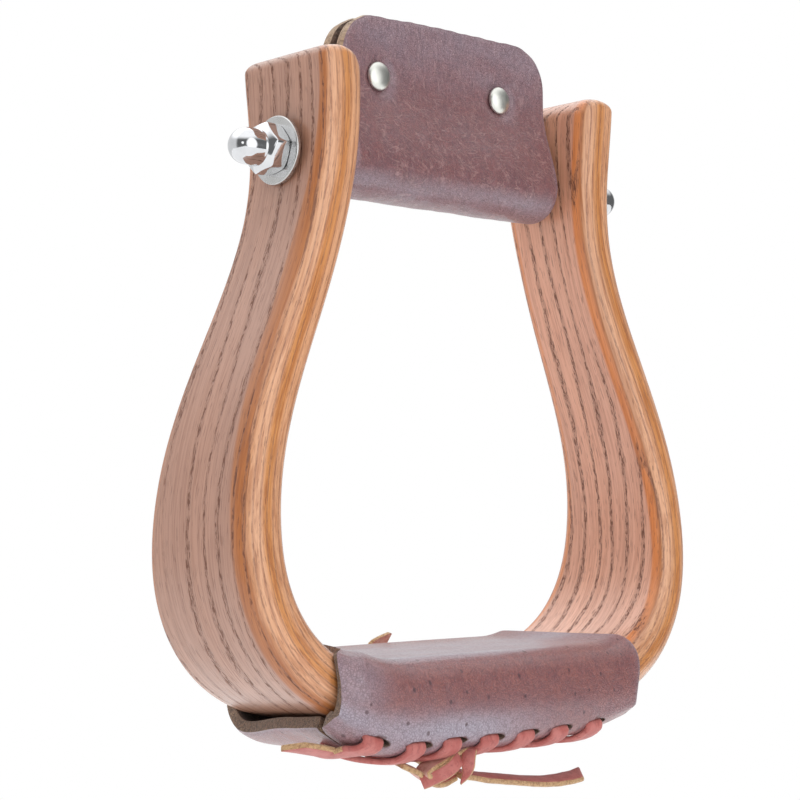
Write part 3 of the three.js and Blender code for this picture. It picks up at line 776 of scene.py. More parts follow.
@dataclass(frozen=True)
class ThongFinish:
    """The waxed red-brown grain side of the lacing thong.

    Attributes:
        name: the material's name.
        body: its usual colour.
        deep: where it is darker.
        light: where it has faded.
        gloss: its roughness where it is smoothest.
    """

    name: str
    body: Colour = (0.44, 0.105, 0.09)
    deep: Colour = (0.25, 0.05, 0.046)
    light: Colour = (0.53, 0.175, 0.155)
    gloss: float = 0.5

    def make(self, fibres: bpy.types.NodeTree) -> bpy.types.Material:
        """Makes the material, which reads the mark sheet.

        Args:
            fibres: the shared group of fibres.

        Returns:
            The material.
        """
        web, shader, material = new_material(
            self.name, IOR=1.45, Coat_Weight=0.12, Coat_Roughness=0.4, Sheen_Weight=0.1
        )
        sheet = web.mark("sheet", vector=True)
        cloud = web.noise(sheet, 0.3, 3.0, 0.6)
        nap = web.group(fibres, Place=sheet, Size=0.55)
        colour = web.mix(web.fade(cloud, 0.35, 0.65), self.body, self.light)
        colour = web.mix(web.fade(nap.outputs["Height"], 0.52, 0.3, 0.0, 0.7), colour, self.deep)
        roughness = web.fade(cloud, 0.3, 0.7, self.gloss, self.gloss + 0.14)
        normal = web.bump(nap.outputs["Height"], 0.0002, 0.6)
        web.feed(shader, Base_Color=colour, Roughness=roughness, Normal=normal)
        return material


@dataclass(frozen=True)
class MetalFinish:
    """Plated or plain metal, with faint handling marks.

    Attributes:
        name: the material's name.
        body: its colour.
        smooth: its roughness where it is clean.
        dull: its roughness where it is handled.
        scratch: the depth of its fine lines, in metres.
    """

    name: str
    body: Colour
    smooth: float
    dull: float
    scratch: float = 0.00001

    def make(self) -> bpy.types.Material:
        """Makes the material, which reads Object coordinates.

        Returns:
            The material.
        """
        web, shader, material = new_material(self.name, Metallic=1.0)
        place = web.add("TexCoord").outputs["Object"]
        smudge = web.noise(place, 260.0, 4.0, 0.65)
        lines = web.noise(web.stretched(place, (300.0, 4200.0, 2600.0)), 1.0, 2.0, 0.6)
        tint = web.fade(smudge, 0.35, 0.7, 0.0, 0.5)
        colour = web.mix(tint, self.body, tuple(0.82 * part for part in self.body))
        roughness = web.fade(smudge, 0.4, 0.75, self.smooth, self.dull)
        web.feed(shader, Base_Color=colour, Roughness=roughness, Normal=web.bump(lines, self.scratch, 0.5))
        return material


@dataclass
class Palette:
    """Every finish of the stirrup, made once.

    Attributes:
        thong: the thong's grain side, cut edges and flesh side.
    """

    wood: bpy.types.Material = field(init=False)
    tread: bpy.types.Material = field(init=False)
    flap: bpy.types.Material = field(init=False)
    cut: bpy.types.Material = field(init=False)
    flap_cut: bpy.types.Material = field(init=False)
    flesh: bpy.types.Material = field(init=False)
    thong: list[bpy.types.Material] = field(init=False)
    plate: bpy.types.Material = field(init=False)
    washer: bpy.types.Material = field(init=False)
    rivet: bpy.types.Material = field(init=False)
    steel: bpy.types.Material = field(init=False)

    def __post_init__(self) -> None:
        """Makes the materials."""
        fibres = fibre_group()
        self.wood = WoodFinish().make()
        self.tread = LeatherFinish(
            "tread_leather", (0.275, 0.098, 0.093), (0.335, 0.118, 0.1), spots=0.8, creases=0.3
        ).make()
        self.flap = LeatherFinish(
            "flap_leather", (0.225, 0.09, 0.095), (0.27, 0.1, 0.098), spots=0.2, creases=1.0
        ).make()
        self.cut = RawFinish(
            "cover_cut_edge", (0.22, 0.125, 0.075), (0.06, 0.032, 0.02), (0.72, 0.56, 0.37), 0.45
        ).make(fibres)
        self.flap_cut = RawFinish(
            "flap_cut_edge", (0.52, 0.36, 0.23), (0.22, 0.13, 0.08), (0.72, 0.58, 0.43), 0.5
        ).make(fibres)
        self.flesh = RawFinish(
            "flesh_side", (0.16, 0.095, 0.065), (0.06, 0.035, 0.025), (0.34, 0.24, 0.17), 0.8
        ).make(fibres)
        grain = ThongFinish("thong_grain").make(fibres)
        cut = RawFinish(
            "thong_cut_edge", (0.62, 0.39, 0.19), (0.34, 0.17, 0.08), (0.82, 0.63, 0.38), 0.35
        ).make(fibres)
        back = ThongFinish(
            "thong_flesh", (0.60, 0.28, 0.22), (0.42, 0.15, 0.12), (0.74, 0.44, 0.37), 0.75
        ).make(fibres)
        self.thong = [grain, cut, back]
        self.plate = MetalFinish("bright_plate", (0.70, 0.71, 0.73), 0.06, 0.12).make()
        self.washer = MetalFinish("satin_plate", (0.58, 0.58, 0.575), 0.2, 0.32, 0.00003).make()
        self.rivet = MetalFinish("rivet_plate", (0.76, 0.77, 0.72), 0.32, 0.42).make()
        self.steel = MetalFinish("plain_steel", (0.5, 0.5, 0.51), 0.3, 0.42, 0.00003).make()


# The bow


@dataclass
class Bow:
    """The bent strip of wood, and the frame of lines that the tread's cover follows.

    Attributes:
        neck_gap: the clear width between the arms.
        neck_height, arm_end: how high the neck and the arms' ends lie over the bolt.
        belly_drop, tread_drop: how far the widest place and the tread's middle lie under it.
        corner_reach_in, corner_reach_down, belly_reach_up, neck_reach_down: how far the handles of
            the bends reach.
        neck_from_end: the neck's distance from an arm's end, where the depth is least.
        outer_edge_radius, front_edge_radius, inner_edge_radius: the edges' rounding, on the outer
            face at the back and at the front, and on the inner face.
        crown: how far the narrow faces bulge.
        unevenness: how far the faces waver.
        end_outer_radius, end_inner_radius, end_face_radius: the arm ends' rounding.
    """

    neck_gap: float = 76.2
    thickness: float = 12.7
    neck_height: float = 6.5
    arm_end: float = 24.0
    arm_end_flare: float = 0.95
    belly_half_width: float = 71.0
    belly_drop: float = 90.5
    tread_drop: float = 128.7
    tread_half_flat: float = 34.0
    corner_reach_in: float = 13.5
    corner_reach_down: float = 29.5
    belly_reach_up: float = 35.5
    neck_reach_down: float = 39.0
    depth_at_end: float = 31.5
    depth_at_neck: float = 26.8
    depth_at_tread: float = 48.7
    neck_from_end: float = 45.0
    outer_edge_radius: float = 2.8
    front_edge_radius: float = 5.4
    inner_edge_radius: float = 4.0
    crown: float = 0.3
    unevenness: float = 0.12
    end_outer_radius: float = 3.0
    end_inner_radius: float = 6.0
    end_face_radius: float = 2.4

    def __post_init__(self) -> None:
        """Measures the middle line once, so that places on it are looked up by distance.

        Half of it is the flat tread and three cubic Bezier bends, (1 - t)^3 a + 3(1 - t)^2 t b +
        3(1 - t)t^2 c + t^3 d: round the belly's corner, up to the neck, and out to the arm's end.
        """
        neck = self.neck_gap / 2 + self.thickness / 2
        end = neck + self.arm_end_flare
        rise = self.arm_end - self.neck_height
        belly, flat = self.belly_half_width, self.tread_half_flat
        bends = [
            [
                (flat, -self.tread_drop),
                (flat + self.corner_reach_in, -self.tread_drop),
                (belly, -self.belly_drop - self.corner_reach_down),
                (belly, -self.belly_drop),
            ],
            [
                (belly, -self.belly_drop),
                (belly, -self.belly_drop + self.belly_reach_up),
                (neck, self.neck_height - self.neck_reach_down),
                (neck, self.neck_height),
            ],
            [
                (neck, self.neck_height),
                (neck, self.neck_height + 0.4 * rise),
                (neck + self.arm_end_flare / 3, self.arm_end - rise / 3),
                (end, self.arm_end),
            ],
        ]
        t = np.linspace(0.0, 1.0, 500)[:, None]
        line = [np.array([[0.0, -self.tread_drop]])]
        for bend in bends:
            a, b, c, d = np.array(bend, float)[:, None]
            line.append((1 - t) ** 3 * a + 3 * (1 - t) ** 2 * t * b + 3 * (1 - t) * t**2 * c + t**3 * d)
        half = np.concatenate(line)
        step = np.linalg.norm(np.diff(half, axis=0), axis=1)
        half = half[np.concatenate([[True], step > 1e-9])]
        run = run_along(half)
        self.half_length = float(run[-1])
        even = np.linspace(0.0, self.half_length, 2000)
        right = np.stack([np.interp(even, run, half[:, 0]), np.interp(even, run, half[:, 1])], -1)
        left = right[:0:-1] * (-1, 1)
        self._line = np.concatenate([left, right])
        self._run = np.concatenate([-even[:0:-1], even])
        self._way = unit(np.gradient(self._line, self._run, axis=0))

    def frame(self, along: np.ndarray) -> tuple[np.ndarray, np.ndarray]:
        """The middle line's places and directions in X and Z, at distances from the tread's middle."""
        line = [np.interp(along, self._run, self._line[:, k]) for k in (0, 1)]
        way = [np.interp(along, self._run, self._way[:, k]) for k in (0, 1)]
        return np.stack(line, -1), unit(np.stack(way, -1))

    def place(self, along: np.ndarray, depth: np.ndarray, out: np.ndarray) -> np.ndarray:
        """Places on the strip: the middle line plus out times its outward normal, at a depth in Y.

        Args:
            along: distances along the strip from the tread's middle.
            depth: depths in Y.
            out: heights out of the middle surface.

        Returns:
            The places, with one more axis than the inputs.
        """
        along, depth, out = np.broadcast_arrays(along, depth, out)
        line, way = self.frame(along)
        return np.stack([line[..., 0] + out * way[..., 1], depth, line[..., 1] - out * way[..., 0]], -1)

    def ways(self, along: np.ndarray) -> tuple[np.ndarray, np.ndarray]:
        """The strip's direction and its outward normal, as vectors in X, Y and Z."""
        _, way = self.frame(along)
        nought = np.zeros_like(way[..., 0])
        forward = np.stack([way[..., 0], nought, way[..., 1]], -1)
        outward = np.stack([way[..., 1], nought, -way[..., 0]], -1)
        return forward, outward

    def depth(self, along: np.ndarray) -> np.ndarray:
        """The strip's depth, which swells from the neck to the tread and a little to the arm ends."""
        from_end = self.half_length - np.abs(along)
        above = smoothstep(from_end, 0.0, self.neck_from_end)
        below = smoothstep(from_end, self.neck_from_end, self.half_length)
        upper = self.depth_at_end + (self.depth_at_neck - self.depth_at_end) * above
        lower = self.depth_at_neck + (self.depth_at_tread - self.depth_at_neck) * below
        return np.where(from_end < self.neck_from_end, upper, lower)

    def section(self, along: np.ndarray) -> Section:
        """The strip's rounded section at each distance, and its normals.

        Each corner is a quarter circle. The front outer one swells from the radius of the back one
        as it leaves the arm's end. Near that end the sides draw back by
        radius - sqrt(radius^2 - (radius - distance)^2).

        Args:
            along: distances along the strip.

        Returns:
            Places as out and depth, and their normals, rows by columns by two.
        """
        from_end = self.half_length - np.abs(along)

        def drawn(radius: float) -> np.ndarray:
            inside = np.maximum(radius - from_end, 0.0)
            return radius - np.sqrt(np.maximum(radius**2 - inside**2, 0.0))

        outer = self.thickness / 2 - drawn(self.end_outer_radius)
        inner = self.thickness / 2 - drawn(self.end_inner_radius)
        half = self.depth(along) / 2 - drawn(self.end_face_radius)
        limit = 0.45 * (outer + inner)
        fuller = smoothstep(from_end, 6.0, 62.0) * (self.front_edge_radius - self.outer_edge_radius)
        back_radius = np.minimum(self.outer_edge_radius, limit)
        front_radius = np.minimum(self.outer_edge_radius + fuller, limit)
        inner_radius = np.minimum(self.inner_edge_radius, limit)
        flat, side, bend = 14, 7, 9
        turn = np.radians(np.linspace(0.0, 90.0, bend))
        nought = np.zeros_like(outer)
        first = np.stack([outer, nought], -1)
        middle = np.stack([-inner, nought], -1)

        def straight(start: np.ndarray, end: np.ndarray, normal: Pair, count: int) -> Section:
            share = np.linspace(0.0, 1.0, count + 2)[None, 1:-1, None]
            found = start[:, None] * (1 - share) + end[:, None] * share
            return found, np.broadcast_to(normal, found.shape)

        def corner(x: np.ndarray, y: np.ndarray, radius: np.ndarray, start: float) -> Section:
            angle = turn + math.radians(start)
            round_it = np.stack([np.cos(angle), np.sin(angle)], -1)[None]
            found = np.stack([x, y], -1)[:, None] + radius[:, None, None] * round_it
            return found, np.broadcast_to(round_it, found.shape)

        def one_side(radius: np.ndarray) -> Section:
            wide = corner(outer - radius, half - radius, radius, 0.0)
            narrow = corner(inner_radius - inner, half - inner_radius, inner_radius, 90.0)
            parts = [
                straight(first, wide[0][:, 0], (1.0, 0.0), flat),
                wide,
                straight(wide[0][:, -1], narrow[0][:, 0], (0.0, 1.0), side),
                narrow,
                straight(narrow[0][:, -1], middle, (-1.0, 0.0), flat),
            ]
            return tuple(np.concatenate([part[k] for part in parts], 1) for k in (0, 1))

        back, back_normals = one_side(back_radius)
        front, front_normals = one_side(front_radius)
        tips = [np.broadcast_to(way, first[:, None].shape) for way in ((1.0, 0.0), (-1.0, 0.0))]
        places = [first[:, None], back, middle[:, None], front[:, ::-1] * (1, -1)]
        normals = [tips[0], back_normals, tips[1], front_normals[:, ::-1] * (1, -1)]
        return np.concatenate(places, 1), np.concatenate(normals, 1)

    def build(self, palette: Palette) -> bpy.types.Object:
        """Builds the wood, with its place in the strip marked for the grain.

        Args:
            palette: the finishes.

        Returns:
            The bow.
        """
        ends = np.array([0.0, 0.12, 0.4, 0.8, 1.3, 1.9, 2.6, 3.4, 4.3, 5.2, 6.2, 7.4])
        clear = self.half_length - 9.0
        middle = np.linspace(-clear, clear, 290)
        along = np.concatenate([ends - self.half_length, middle, (self.half_length - ends)[::-1]])
        section, normals = self.section(along)
        out, depth = section[..., 0], section[..., 1]
        run = np.broadcast_to(along[:, None], out.shape)
        places = self.place(run, depth, out)
        strip = np.stack([run, out, depth], -1)
        uneven = self.unevenness * ripple(strip * (0.35, 1.0, 1.0), 26.0, 3)
        _, outward = self.ways(run)
        push = outward * normals[..., :1] + np.array([0.0, 1.0, 0.0]) * normals[..., 1:]
        calm = smoothstep(self.half_length - np.abs(run), 0.0, 8.0)
        places = places + push * (uneven * calm)[..., None]
        narrow = smoothstep(np.abs(normals[..., 1]), 0.4, 1.0)
        bulge = self.crown * narrow * (1.0 - (2.0 * out / self.thickness) ** 2)
        places[..., 1] += np.sign(depth) * bulge * calm
        turn = np.degrees(np.arctan2(np.abs(normals[..., 1]), np.abs(normals[..., 0]))) / 90.0
        skin = Skin(places, marks={"strip": strip, "turn": turn})
        piece = write_piece("bow_wood", skin, [palette.wood])
        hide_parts("bow")
        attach(piece, Body.STIRRUP.value)
        return piece


# The tread's leather cover


@dataclass
class TreadCover:
    """The leather wrapped round the tread, slit along its two margins.

    Attributes:
        sag: the loose space under the wood.
        lower_radius, back_radius: the leather's bends under the front and the back of the wood.
        seam_set_back: how far the seam lies behind the front bend.
        bulge: how far the front's lower edge stands out.
        left_lift, right_lift: how much closer to the wood the margins lie at the two ends.
        slit_reach, slit_half: a slit's distance from the seam, and half its length.
        slits_at: where the front slits lie along the strip.
        skive_length: how far in the left end is pared.
        nominal_length: the length over which the rows are spread before they fit the two ends.
        left_end, right_end: where the leather ends along the strip, by distance round from the seam.
        left_thickness: how much of the thickness the left end keeps, by the same distance.
    """

    bow: Bow
    leather: float = 3.2
    sag: float = 3.2
    lower_radius: float = 5.0
    back_radius: float = 8.2
    seam_set_back: float = 1.5
    seam_gap: float = 0.6
    bulge: float = 1.0
    left_lift: float = 2.9
    right_lift: float = 2.4
    slit_reach: float = 6.6
    slit_half: float = 3.9
    slits_at: tuple[float, ...] = (-43.4, -33.2, -22.1, -10.2, 2.0, 14.4, 27.7)
    skive_length: float = 7.0
    nominal_length: float = 100.0
    left_end: tuple[Pair, ...] = (
        (0.0, -51.2),
        (1.5, -52.6),
        (5.0, -53.6),
        (9.0, -54.0),
        (12.0, -54.8),
        (15.2, -56.4),
        (18.6, -59.0),
        (21.0, -59.4),
        (24.0, -57.2),
        (27.5, -54.8),
        (34.0, -54.0),
        (62.0, -53.0),
        (72.0, -49.5),
        (82.0, -47.5),
        (95.0, -47.0),
        (112.0, -50.0),
        (131.0, -52.4),
    )
    right_end: tuple[Pair, ...] = (
        (0.0, 41.5),
        (5.0, 42.0),
        (9.0, 42.2),
        (13.0, 43.6),
        (17.0, 46.0),
        (22.0, 48.0),
        (27.5, 47.8),
        (40.0, 47.0),
        (66.0, 46.0),
        (80.0, 45.0),
        (131.0, 41.5),
    )
    left_thickness: tuple[Pair, ...] = (
        (0.0, 1.0),
        (6.0, 0.9),
        (10.0, 0.66),
        (13.0, 0.46),
        (17.0, 0.36),
        (23.0, 0.36),
        (30.0, 0.8),
        (36.0, 1.0),
    )

    def __post_init__(self) -> None:
        """Works out the sizes that follow from the others."""
        self.half_thickness = self.bow.thickness / 2
        self.side = GAP + self.leather / 2
        self.under = self.half_thickness + self.sag + self.leather / 2
        self.over = self.half_thickness + self.side
        self.upper_radius = self.bow.inner_edge_radius + self.side

    def half(self, along: np.ndarray) -> np.ndarray:
        """How far the leather's middle lies in front of and behind the bow's middle plane."""
        return self.bow.depth(along) / 2 + self.side

    def seam(self, along: np.ndarray) -> np.ndarray:
        """The seam's depth under the tread."""
        return self.lower_radius + self.seam_set_back - self.half(along)

    def lift(self, along: np.ndarray) -> np.ndarray:
        """How much closer to the wood the margins and the leather under it lie towards the ends."""
        right = self.right_lift * smoothstep(along, 22.0, 43.0)
        return self.left_lift * smoothstep(-along, 40.0, 55.0) + right

    def slit(self, stitch: np.ndarray | float) -> np.ndarray | float:
        """How far along the strip a stitch's slits are, by its number from the left."""
        places = np.array((2 * self.slits_at[0] - self.slits_at[1], *self.slits_at))
        return np.interp(stitch, np.arange(-1, len(self.slits_at)), places)

    def on_margin(
        self, along: np.ndarray, reach: np.ndarray, offset: np.ndarray
    ) -> tuple[np.ndarray, np.ndarray, np.ndarray]:
        """Places on the two margins under the tread, and the leather's own directions there.

        From the seam the front margin runs level for the set-back and then up round the lower bend,
        where the angle is the rest of the reach over the bend's radius.

        Args:
            along: distances along the strip.
            reach: distances from the seam, positive to the front.
            offset: heights out of the leather's middle.

        Returns:
            The places, the outward normals and the strip's direction.
        """
        along, reach, offset = np.broadcast_arrays(np.asarray(along, float), reach, offset)
        angle = np.maximum(reach - self.seam_set_back, 0.0) / self.lower_radius
        radius = self.lower_radius + offset
        depth = self.seam(along) - np.minimum(reach, self.seam_set_back) - radius * np.sin(angle)
        out = self.under - self.lower_radius + radius * np.cos(angle) - self.lift(along)
        forward, outward = self.bow.ways(along)
        normal = outward * np.cos(angle)[..., None]
        normal[..., 1] = -np.sin(angle)
        return self.bow.place(along, depth, out), normal, forward

    def line(self) -> dict[str, np.ndarray]:
        """The leather's middle line in section, from the front margin round to the back one.

        A point's depth is a share of the half depth plus a constant, so the one line serves every
        distance along the tread.

        Returns:
            Arrays out, share, add, normal_out, normal_depth and run, one value for each point.
        """
        low, high, back_low = self.lower_radius, self.upper_radius, self.back_radius
        under, top = self.under, -self.over
        seam = low + self.seam_set_back
        front_gap, back_gap = seam - self.seam_gap / 2, seam + self.seam_gap / 2

        def rows(values: np.ndarray, normals: np.ndarray | Pair) -> np.ndarray:
            return np.hstack([values, np.broadcast_to(normals, (len(values), 2))])

        def straight(count: int, start: Place, end: Place, normal: Pair) -> np.ndarray:
            t = ((np.arange(count) + 0.5) / count)[:, None]
            return rows(np.array(start) * (1 - t) + np.array(end) * t, normal)

        def bend(middle: Place, radius: float, start: float) -> np.ndarray:
            normals = arc((0.0, 0.0), 1.0, start, start - 90.0, 14)
            return rows(np.array(middle) + radius * np.insert(normals, 1, 0.0, axis=1), normals)

        parts = [
            rows(np.array([(under, -1.0, front_gap)]), (1.0, 0.0)),
            straight(2, (under, -1.0, front_gap), (under, -1.0, low), (1.0, 0.0)),
            bend((under - low, -1.0, low), low, 0.0),
            straight(14, (under - low, -1.0, 0.0), (top + high, -1.0, 0.0), (0.0, -1.0)),
            bend((top + high, -1.0, high), high, -90.0),
            straight(48, (top, -1.0, high), (top, 1.0, -high), (-1.0, 0.0)),
            bend((top + high, 1.0, -high), high, -180.0),
            straight(14, (top + high, 1.0, 0.0), (under - back_low, 1.0, 0.0), (0.0, 1.0)),
            bend((under - back_low, 1.0, -back_low), back_low, -270.0),
            straight(44, (under, 1.0, -back_low), (under, -1.0, back_gap), (1.0, 0.0)),
            rows(np.array([(under, -1.0, back_gap)]), (1.0, 0.0)),
        ]
        found = dict(zip(("out", "share", "add", "normal_out", "normal_depth"), np.concatenate(parts).T))
        depth = found["share"] * float(self.half(np.array(0.0))) + found["add"]
        found["run"] = run_along(np.stack([found["out"], depth], -1))
        return found

    def painted_sheen(self, along: np.ndarray, run: np.ndarray, sheet: np.ndarray) -> np.ndarray:
        """Where a sheen is painted on the leather: its low and top front edges, its top, and its left end's
        front.

        Args:
            along: distances along the strip.
            run: distances round from the front margin.
            sheet: both of them as places on the flat leather.

        Returns:
            The share of painted sheen, from 0 to about 1.
        """
        low_front = np.exp(-(((run - 8.6) / 4.2) ** 2)) * (0.18 + 0.82 * smoothstep(-along, -20.0, 26.0))
        top_front = np.exp(-(((run - 27.2) / 3.2) ** 2)) * (0.45 + 0.55 * smoothstep(-along, -34.0, 10.0))
        top = 0.6 * smoothstep(run, 25.0, 29.0) * (1.0 - smoothstep(run, 48.0, 66.0))
        left_front = 0.5 * smoothstep(-along, 38.0, 52.0) * (1.0 - smoothstep(run, 24.0, 30.0))
        most = np.maximum(np.maximum(low_front, np.maximum(top_front, top)), left_front)
        return most * (0.92 + 0.2 * ripple(sheet * (0.4, 1.0, 1.0), 16.0, 17))

    def build(self, palette: Palette) -> bpy.types.Object:
        """Builds the cover and cuts its slits.

        Args:
            palette: the finishes.

        Returns:
            The cover.
        """
        line = self.line()
        run = line["run"]
        left, right = (
            np.interp(run, *smooth_line(np.array(end), 240).T) for end in (self.left_end, self.right_end)
        )
        skived = np.interp(run, *np.array(self.left_thickness).T)
        ends = np.array([0.0, 0.15, 0.45, 0.95])
        middle = np.linspace(1.8, self.nominal_length - 1.8, 124)
        from_left = np.concatenate([ends, middle, (self.nominal_length - ends)[::-1]])
        share = (from_left / self.nominal_length)[:, None]
        along = left * (1 - share) + right * share
        edge = np.minimum(from_left, from_left[::-1])[:, None]

        _, outward = self.bow.ways(along)
        normal = outward * line["normal_out"][:, None]
        normal[..., 1] = line["normal_depth"]
        low = smoothstep(line["normal_out"], 0.0, 0.8)
        depth = line["share"] * self.half(along) + line["add"]
        core = self.bow.place(along, depth, line["out"] - self.lift(along) * low)
        sheet = np.stack([along, np.broadcast_to(run, along.shape), np.zeros_like(along)], -1)
        loose = 0.3 * ripple(sheet, 34.0, 11) + 0.12 * ripple(sheet, 11.0, 12)
        belly = self.bulge * np.exp(-(((run - 13.0) / 6.0) ** 2))
        core = core + normal * (belly + loose * smoothstep(line["normal_out"], -0.6, 0.6))[..., None]

        thinned = (1.0 - skived) * (1.0 - smoothstep(from_left[:, None], 0.0, self.skive_length))
        rounded = 0.16 * (1.0 - smoothstep(edge, 0.0, 1.0)) * (1.0 - thinned)
        outward_half = (self.leather / 2 * (1.0 - 2.0 * thinned - rounded))[..., None]
        inward_half = (self.leather / 2 * (1.0 - rounded))[..., None]
        places = round_sheet(core, core + normal * outward_half, core - normal * inward_half)
        seam_rim = np.exp(-np.minimum(run, run[-1] - run) / 1.1)
        worn = np.maximum(np.exp(-edge / 1.1), seam_rim)
        # Painted sheen over the front edges, the top and the left end's front.
        painted_sheen = self.painted_sheen(along, run, sheet)
        marks = {"worn": worn, "painted_sheen": painted_sheen, "crease": np.full_like(painted_sheen, 0.6)}
        skin = leather_skin(places, sheet, self.leather, self.leather / 2, marks)
        piece = write_piece("tread_cover_leather", skin, [palette.tread, palette.cut, palette.flesh], 50.0)
        cut_away(piece, self.slits(palette))
        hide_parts("tread_cover")
        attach(piece, Body.STIRRUP.value)
        return piece

    def slits(self, palette: Palette) -> bpy.types.Object:
        """One cutter of every slit: a lens-shaped bar through the leather at each.

        Args:
            palette: the finishes.

        Returns:
            The cutter.
        """
        front = [(place, self.slit_reach) for place in self.slits_at]
        back = [(place, -self.slit_reach) for place in self.slits_at[:-1]]
        cutters = []
        angle = np.linspace(0.0, 2.0 * math.pi, 40, endpoint=False)
        long, wide, through = self.slit_half, 1.2, 0.8 * self.leather
        lens = np.stack([long * np.cos(angle), wide * np.sin(angle) * np.abs(np.sin(angle)) ** 0.2], -1)
        for along, reach in front + back:
            rows = []
            for offset in np.linspace(-through, through, 5):
                place, normal, forward = self.on_margin(along, reach, offset)
                beside = np.cross(normal, forward)
                rows.append(place + lens[:, :1] * forward + lens[:, 1:] * beside)
            places = np.stack(rows)
            skin = Skin(places, finish=1, end_finish=1, marks={"sheet": places})
            cutters.append(write_piece("slit", skin, [palette.tread, palette.cut], 50.0))
        bpy.ops.object.select_all(action="DESELECT")
        for cutter in cutters:
            cutter.select_set(True)
        bpy.context.view_layer.objects.active = cutters[0]
        bpy.ops.object.join()
        return cutters[0]


# The thong


